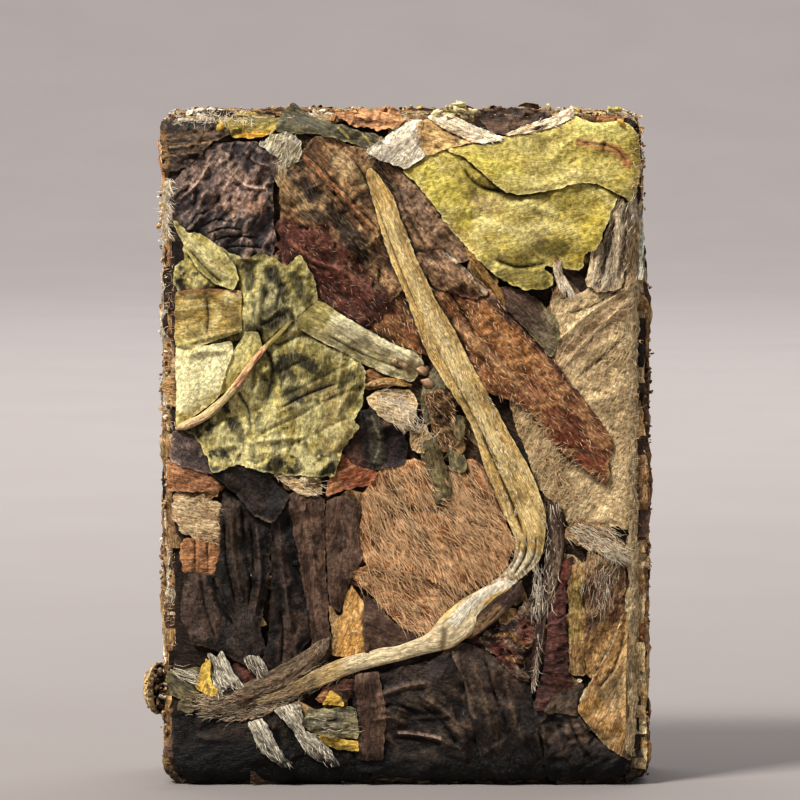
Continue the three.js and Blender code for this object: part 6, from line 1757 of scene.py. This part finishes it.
def leaf_shader(tree, finish, tint, grain):
    """Dry leaf, bud or stalk: fibres along its grain, a crumbled surface, wrinkles, veins and fine down."""
    # The grain wanders to either side, about once a millimetre
    sway = add_node(tree, "ShaderNodeTexNoise", {"Vector": grain, "Scale": 0.9, "Detail": 2.0})
    sway = add_node(tree, "ShaderNodeVectorMath", {0: sway.outputs["Color"], "Scale": 0.5},
        operation="SCALE").outputs["Vector"]
    bent = add_node(tree, "ShaderNodeVectorMath", {0: sway, 1: grain}, operation="ADD").outputs["Vector"]
    # Two combings of fibre and down, 0.05 mm wide and 0.4 mm long, that cross at a narrow angle
    combings = []
    for turn, across in ((0.12, 20.0), (-0.16, 16.0)):
        combed = add_node(tree, "ShaderNodeMapping", {
            "Vector": bent, "Rotation": (0, 0, turn), "Scale": (2.2, across, 1)})
        fibre = add_node(tree, "ShaderNodeTexNoise", {
            "Vector": combed.outputs["Vector"], "Scale": 1.0, "Detail": 2.0, "Roughness": 0.6})
        combings.append(fibre.outputs["Fac"])
    strand = add_node(tree, "ShaderNodeMath", dict(enumerate(combings)), operation="MAXIMUM")
    strand = strand.outputs["Value"]
    # Crumbled surface: grains from 0.3 mm down to 0.03 mm
    pore = add_node(tree, "ShaderNodeTexNoise", {
        "Vector": grain, "Scale": 5.0, "Detail": 4.0, "Roughness": 0.7, "Distortion": 0.4}).outputs["Fac"]
    # Fine wrinkles 0.4 mm apart
    fold = add_node(tree, "ShaderNodeMapping", {"Vector": bent, "Scale": (1.2, 2.6, 1.0)})
    crease = add_node(tree, "ShaderNodeTexNoise", {
        "Vector": fold.outputs["Vector"], "Scale": 1.0, "Detail": 3.0, "Roughness": 0.6, "Gain": 2.0},
        noise_type="RIDGED_MULTIFRACTAL").outputs["Fac"]
    # All of them change the colour, and together they give the height; the wrinkles' change of colour is
    # painted light and shade, paler on their ridges and darker in their dents
    changes = [
        (strand, 0.46, 0.66, 1 - finish.fibre, 1 + finish.fibre),
        (pore, 0.4, 0.6, 1 - finish.grit, 1 + finish.grit),
        # painted light and shade on the fine wrinkles
        (crease, 0.2, 1.2, 0.8, 1.2),
    ]
    heights = [(strand, 0.6), (crease, 0.5)]
    if finish.net:
        # Fine net of veins, meshes of 0.4 mm
        cells = add_node(tree, "ShaderNodeTexVoronoi", {"Vector": bent, "Scale": 2.5},
            feature="DISTANCE_TO_EDGE", voronoi_dimensions="2D").outputs["Distance"]
        changes.append((cells, 0.0, 0.16, 1 - 0.35 * finish.net, 1.0))
    shades = [add_node(tree, "ShaderNodeMapRange", dict(zip(RANGE, change))).outputs["Result"]
              for change in changes]
    if finish.net:
        heights.append((shades[-1], 0.4))
    shade = shades[0]
    for other in shades[1:]:
        shade = add_node(tree, "ShaderNodeMath", {0: shade, 1: other}, operation="MULTIPLY").outputs["Value"]
    height = pore
    for field, share in heights:
        height = add_node(tree, "ShaderNodeMath", {0: field, 1: share, 2: height},
            operation="MULTIPLY_ADD").outputs["Value"]
    colour = add_node(tree, "ShaderNodeVectorMath", {0: tint, 1: shade}, operation="MULTIPLY")
    colour = colour.outputs["Vector"]
    if finish.fleck:
        # Down too fine to model hair by hair lies over all as pale flecks
        levels = (strand, 0.58, 0.74, 0.0, min(1.0, 3 * finish.fleck))
        share = add_node(tree, "ShaderNodeMapRange", dict(zip(RANGE, levels))).outputs["Result"]
        colour = add_node(tree, "ShaderNodeMix", {
            "Factor": share, "A": colour, "B": (*linear(finish.fleck_colour), 1)},
            data_type="RGBA").outputs["Result"]
    bump = add_node(tree, "ShaderNodeBump", {
        "Height": height, "Strength": 1.0, "Distance": finish.bump_mm * MM})
    levels = (pore, 0.3, 0.7, finish.roughness - 0.1, finish.roughness + 0.1)
    rough = add_node(tree, "ShaderNodeMapRange", dict(zip(RANGE, levels)))
    return add_node(tree, "ShaderNodeBsdfPrincipled", {
        "Base Color": colour, "Roughness": rough.outputs["Result"], "IOR": 1.45,
        "Specular IOR Level": finish.gloss, "Sheen Weight": finish.sheen, "Sheen Roughness": 0.4,
        "Normal": bump.outputs["Normal"]})


def tea_material(kind):
    """The material of one kind of dry tea or colour of down. Patterns and grain are in millimetres."""
    finish = FINISHES.get(kind)
    name = finish.material if finish else kind.replace("_", " ")
    if name in bpy.data.materials:
        return bpy.data.materials[name]
    material = bpy.data.materials.new(name)
    material.use_nodes = True
    tree = material.node_tree
    tree.nodes.clear()
    tint = add_node(tree, "ShaderNodeAttribute", attribute_name="tint").outputs["Color"]
    grain = add_node(tree, "ShaderNodeUVMap", uv_map="grain").outputs["UV"]
    shader = leaf_shader(tree, finish, tint, grain) if finish else down_shader(tree, tint, grain)
    add_node(tree, "ShaderNodeOutputMaterial", {"Surface": shader.outputs["BSDF"]})
    return material


# Operators


def lay_face(face, pieces, leaves, stalks, spacing, seed):
    """Lays leaves, then stalks, on a face's first pieces, and makes one piece of all that share a name."""
    for i, leaf in enumerate(leaves):
        pieces.setdefault((leaf.name, leaf.kind), []).append(face.lay(leaf, seed + 101 * i, spacing))
    for i, (name, kind, flat, sink, strokes, run) in enumerate(stalks):
        part = outward(face.stalk(run, kind, flat, sink, seed + 61 * i, strokes))
        pieces.setdefault((name, kind), []).append(part)
    for (name, kind), parts in pieces.items():
        face.shade(parts)
        add_piece(name, parts, kind)


class TEABRICK_OT_core(bpy.types.Operator):
    """Builds the pressed core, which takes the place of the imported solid"""

    bl_idname = "tea_brick.core"
    bl_label = "Pressed core"

    def execute(self, context):
        pressed_core()
        return {"FINISHED"}


class TEABRICK_OT_front(bpy.types.Operator):
    """Lays the leaves, buds, stalks and down of the front face"""

    bl_idname = "tea_brick.front"
    bl_label = "Front face"

    def execute(self, context):
        face = BroadFace(front=True)
        chips = scatter_chips(face, FACE_CHIPS, seed=300, prefix="front_chips")
        lay_face(face, chips, FRONT_LEAVES, FRONT_STALKS, FINE_MM, seed=1000)
        rng = np.random.default_rng(seed=21)
        for width, count, length, spread, colour, line in FRONT_TUFTS:
            face.tuft(line, width, count, length, spread, colour, rng)
        add_pieces("front", face.grow_down(seed=7))
        front_lumps(face, rng)
        return {"FINISHED"}


def front_lumps(face, rng):
    """Bud beads and hard crumbs that stick to the front."""
    lumps = {}
    for x, z, width, kind in FRONT_LUMPS:
        spot = np.array([x]), np.array([z])
        centre = face.placed(*spot, face.at(face.top, *spot) + 0.04 * width)[0]
        radii = width / 2 * np.array([1, 0.6, 0.85])
        lumps.setdefault(kind, []).append(crumb_part(centre, radii, kind, rng, even=0.6))
    add_pieces("front_lumps", lumps)


class TEABRICK_OT_back(bpy.types.Operator):
    """Lays the leaves, buds, stalks and down of the back face"""

    bl_idname = "tea_brick.back"
    bl_label = "Back face"

    def execute(self, context):
        face = BroadFace(front=False)
        chips = scatter_chips(face, FACE_CHIPS, seed=700, prefix="back_chips")
        leaves = []
        for i, (x, z, length, width, turn, kind) in enumerate(BACK_LEAVES):
            downy = kind in ("tan", "golden", "silver")
            colour = "golden_down" if kind == "golden" else "silver_down"
            leaves.append(Leaf(
                f"back_leaf_{i + 1}", kind, turn, tea_leaf_outline(x, z, length, width, turn), thick=0.18,
                wrinkle=0.1, wrinkle_mm=1.3, veins=0 if downy else 0.06, rag=0.17,
                ridged=0.08 if kind in ("black", "plum") else 0.0, blotch=0.45,
                creases=(("ridge", 0.14, 0.2, *midrib(x, z, length, turn)),),
                down=(9 if kind == "tan" else 24, 0.6, turn, 20, colour) if downy else (),
            ))
        lay_face(face, chips, leaves, BACK_STALKS, COARSE_MM, seed=5000)
        add_pieces("back", face.grow_down(seed=8))
        return {"FINISHED"}


def midrib(x, z, length, turn):
    """Points along the middle of a whole tea leaf."""
    return set_out(x, z, np.array([-0.46, -0.15, 0.15, 0.44]) * length, 0, turn)


class TEABRICK_OT_sides(bpy.types.Operator):
    """Builds the broken layer ends, crumbs and lumps round the sides and on the top"""

    bl_idname = "tea_brick.sides"
    bl_label = "Sides and top"

    def execute(self, context):
        side_layers(LAYER_ENDS, seed=11)
        side_crumbs(SIDE_CRUMBS, seed=12)
        curled_flake(seed=83)
        top_lumps(seed=13)
        return {"FINISHED"}


def top_lumps(seed):
    """Broken ends of larger things that stand up from the top, each a heap of flat flakes."""
    rng = np.random.default_rng(seed)
    for i, (x, y, length, tall, kind) in enumerate(TOP_LUMPS):
        parts = []
        for _ in range(int(FLAKES_FOR_MM * length)):
            off = rng.uniform(-0.5, 0.5, 3) * np.array([length, 0.9, 1])
            crown = 1 - (2 * off[0] / length) ** 2
            height = size("height") - 0.1 + (off[2] + 0.3) * tall * crown
            centre = np.array([x + off[0] + SHIFT_X, y + off[1] + SHIFT_Y, height])
            radii = rng.uniform(0.12, 0.26) * np.array([1.5, 1.2, 0.6])
            shade = rng.uniform(0.75, 1.15)
            parts.append(crumb_part(centre, radii, kind, rng, shade=shade, turned=0.3))
        add_piece(f"top_lump_{i + 1}", parts, kind, BROKEN_DEG)


# Camera: 800 picture points show this width at the front face
SENSOR_MM = 36
DISTANCE_MM = 260
VIEW_MM = 39.1
ELEVATION_DEG = 4
AIM_X_MM = -0.17
AIM_Z_MM = 18.98

# What the lights point at, in metres
MIDDLE = (0, 0, 0.016)
BACKDROP = (0, 0.9, 0.1)

# Lights: name, place in metres, width, watts and colour
LIGHTS = (
    ("key light", (-0.2, -0.17, 0.34), 0.09, 3.7, "#FFFBF4"),
    ("fill light", (0.3, -0.25, 0.14), 0.3, 0.25, "#F6F8FF"),
    ("top light", (0.02, 0.08, 0.4), 0.3, 0.4, "#FFFFFF"),
    ("backdrop light", (0, 0.2, 0.5), 0.4, 10.5, "#FFFFFF"),
)


class TEABRICK_OT_stage(bpy.types.Operator):
    """Sets the pale floor, the soft light and the camera"""

    bl_idname = "tea_brick.stage"
    bl_label = "Stage"

    def execute(self, context):
        scene = context.scene
        floor = bpy.data.objects.new("floor", swept_floor())
        context.collection.objects.link(floor)
        floor.data.materials.append(floor_material())
        world = bpy.data.worlds.new("soft grey room")
        world.use_nodes = True
        sky = world.node_tree.nodes["Background"]
        sky.inputs["Color"].default_value = (*linear("#F2EFEC"), 1)
        sky.inputs["Strength"].default_value = 0.3
        scene.world = world
        for name, place, across, watts, colour in LIGHTS:
            lamp = bpy.data.lights.new(name, "AREA")
            lamp.size = across
            lamp.energy = watts
            lamp.color = linear(colour)
            holder = bpy.data.objects.new(name, lamp)
            holder.location = place
            aim = BACKDROP if name == "backdrop light" else MIDDLE
            holder.rotation_euler = (Vector(aim) - Vector(place)).to_track_quat("-Z", "Y").to_euler()
            context.collection.objects.link(holder)
        lens = bpy.data.cameras.new("camera")
        lens.sensor_width = SENSOR_MM
        lens.lens = SENSOR_MM * DISTANCE_MM / VIEW_MM
        lens.clip_start = 0.01
        camera = bpy.data.objects.new("camera", lens)
        tilt = math.radians(ELEVATION_DEG)
        aim = Vector((SHIFT_X + AIM_X_MM, SHIFT_Y - size("depth") / 2, AIM_Z_MM)) * MM
        camera.location = aim + Vector((0, -math.cos(tilt), math.sin(tilt))) * DISTANCE_MM * MM
        camera.rotation_euler = (math.pi / 2 - tilt, 0, 0)
        context.collection.objects.link(camera)
        scene.camera = camera
        scene.view_settings.view_transform = "Standard"
        return {"FINISHED"}


def swept_floor():
    """A flat round floor that sweeps up all round, so no edge shows behind the brick."""
    steps = 48
    sweep = np.radians(np.arange(6, 91, 6))
    profile = [(r, 0) for r in (0.1, 0.3, 0.5)]
    profile += [(0.5 + 0.5 * math.sin(t), 0.5 - 0.5 * math.cos(t)) for t in sweep]
    points = [(0, 0, 0)]
    for r, z in profile:
        points += [(r * math.cos(a), r * math.sin(a), z) for a in 2 * np.pi * np.arange(steps) / steps]
    faces = [(0, 1 + k, 1 + (k + 1) % steps) for k in range(steps)]
    for ring in range(len(profile) - 1):
        for k in range(steps):
            a, b = 1 + ring * steps + k, 1 + ring * steps + (k + 1) % steps
            faces.append((a, a + steps, b + steps, b))
    mesh = bpy.data.meshes.new("floor")
    mesh.from_pydata(points, [], faces)
    mesh.shade_smooth()
    return mesh


def floor_material():
    """Matt pale card: even, with a very faint cloud."""
    material = bpy.data.materials.new("pale card")
    material.use_nodes = True
    tree = material.node_tree
    shader = tree.nodes["Principled BSDF"]
    shader.inputs["Roughness"].default_value = 0.85
    place = add_node(tree, "ShaderNodeTexCoord").outputs["Object"]
    cloud = add_node(tree, "ShaderNodeTexNoise", {"Vector": place, "Scale": 60.0, "Detail": 3.0})
    tone = add_node(tree, "ShaderNodeMix", {
        "Factor": cloud.outputs["Fac"], "A": (*linear("#716A68"), 1), "B": (*linear("#77716F"), 1)},
        data_type="RGBA")
    tree.links.new(tone.outputs["Result"], shader.inputs["Base Color"])
    return material


class TEABRICK_PT_panel(bpy.types.Panel):
    """Lists the brick's sizes and colours, and the buttons of its operators"""

    bl_idname = "TEABRICK_PT_panel"
    bl_label = "Tea Brick"
    bl_space_type = "VIEW_3D"
    bl_region_type = "UI"
    bl_category = "Tea Brick"

    def draw(self, context):
        for group in (context.scene.tea_brick_sizes, context.scene.tea_brick_colours):
            box = self.layout.box()
            for name in type(group).__annotations__:
                box.prop(group, name)
        for operator in OPERATORS:
            self.layout.operator(operator.bl_idname)


OPERATORS = (TEABRICK_OT_core, TEABRICK_OT_front, TEABRICK_OT_back, TEABRICK_OT_sides, TEABRICK_OT_stage)
CLASSES = (BrickSizes, BrickColours, *OPERATORS, TEABRICK_PT_panel)


def register():
    for cls in CLASSES:
        bpy.utils.register_class(cls)
    bpy.types.Scene.tea_brick_sizes = bpy.props.PointerProperty(type=BrickSizes)
    bpy.types.Scene.tea_brick_colours = bpy.props.PointerProperty(type=BrickColours)


def unregister():
    del bpy.types.Scene.tea_brick_colours
    del bpy.types.Scene.tea_brick_sizes
    for cls in reversed(CLASSES):
        bpy.utils.unregister_class(cls)


def main():
    register()
    bpy.ops.tea_brick.core()
    bpy.ops.tea_brick.front()
    bpy.ops.tea_brick.back()
    bpy.ops.tea_brick.sides()
    bpy.ops.tea_brick.stage()


if __name__ == "__main__":
    main()
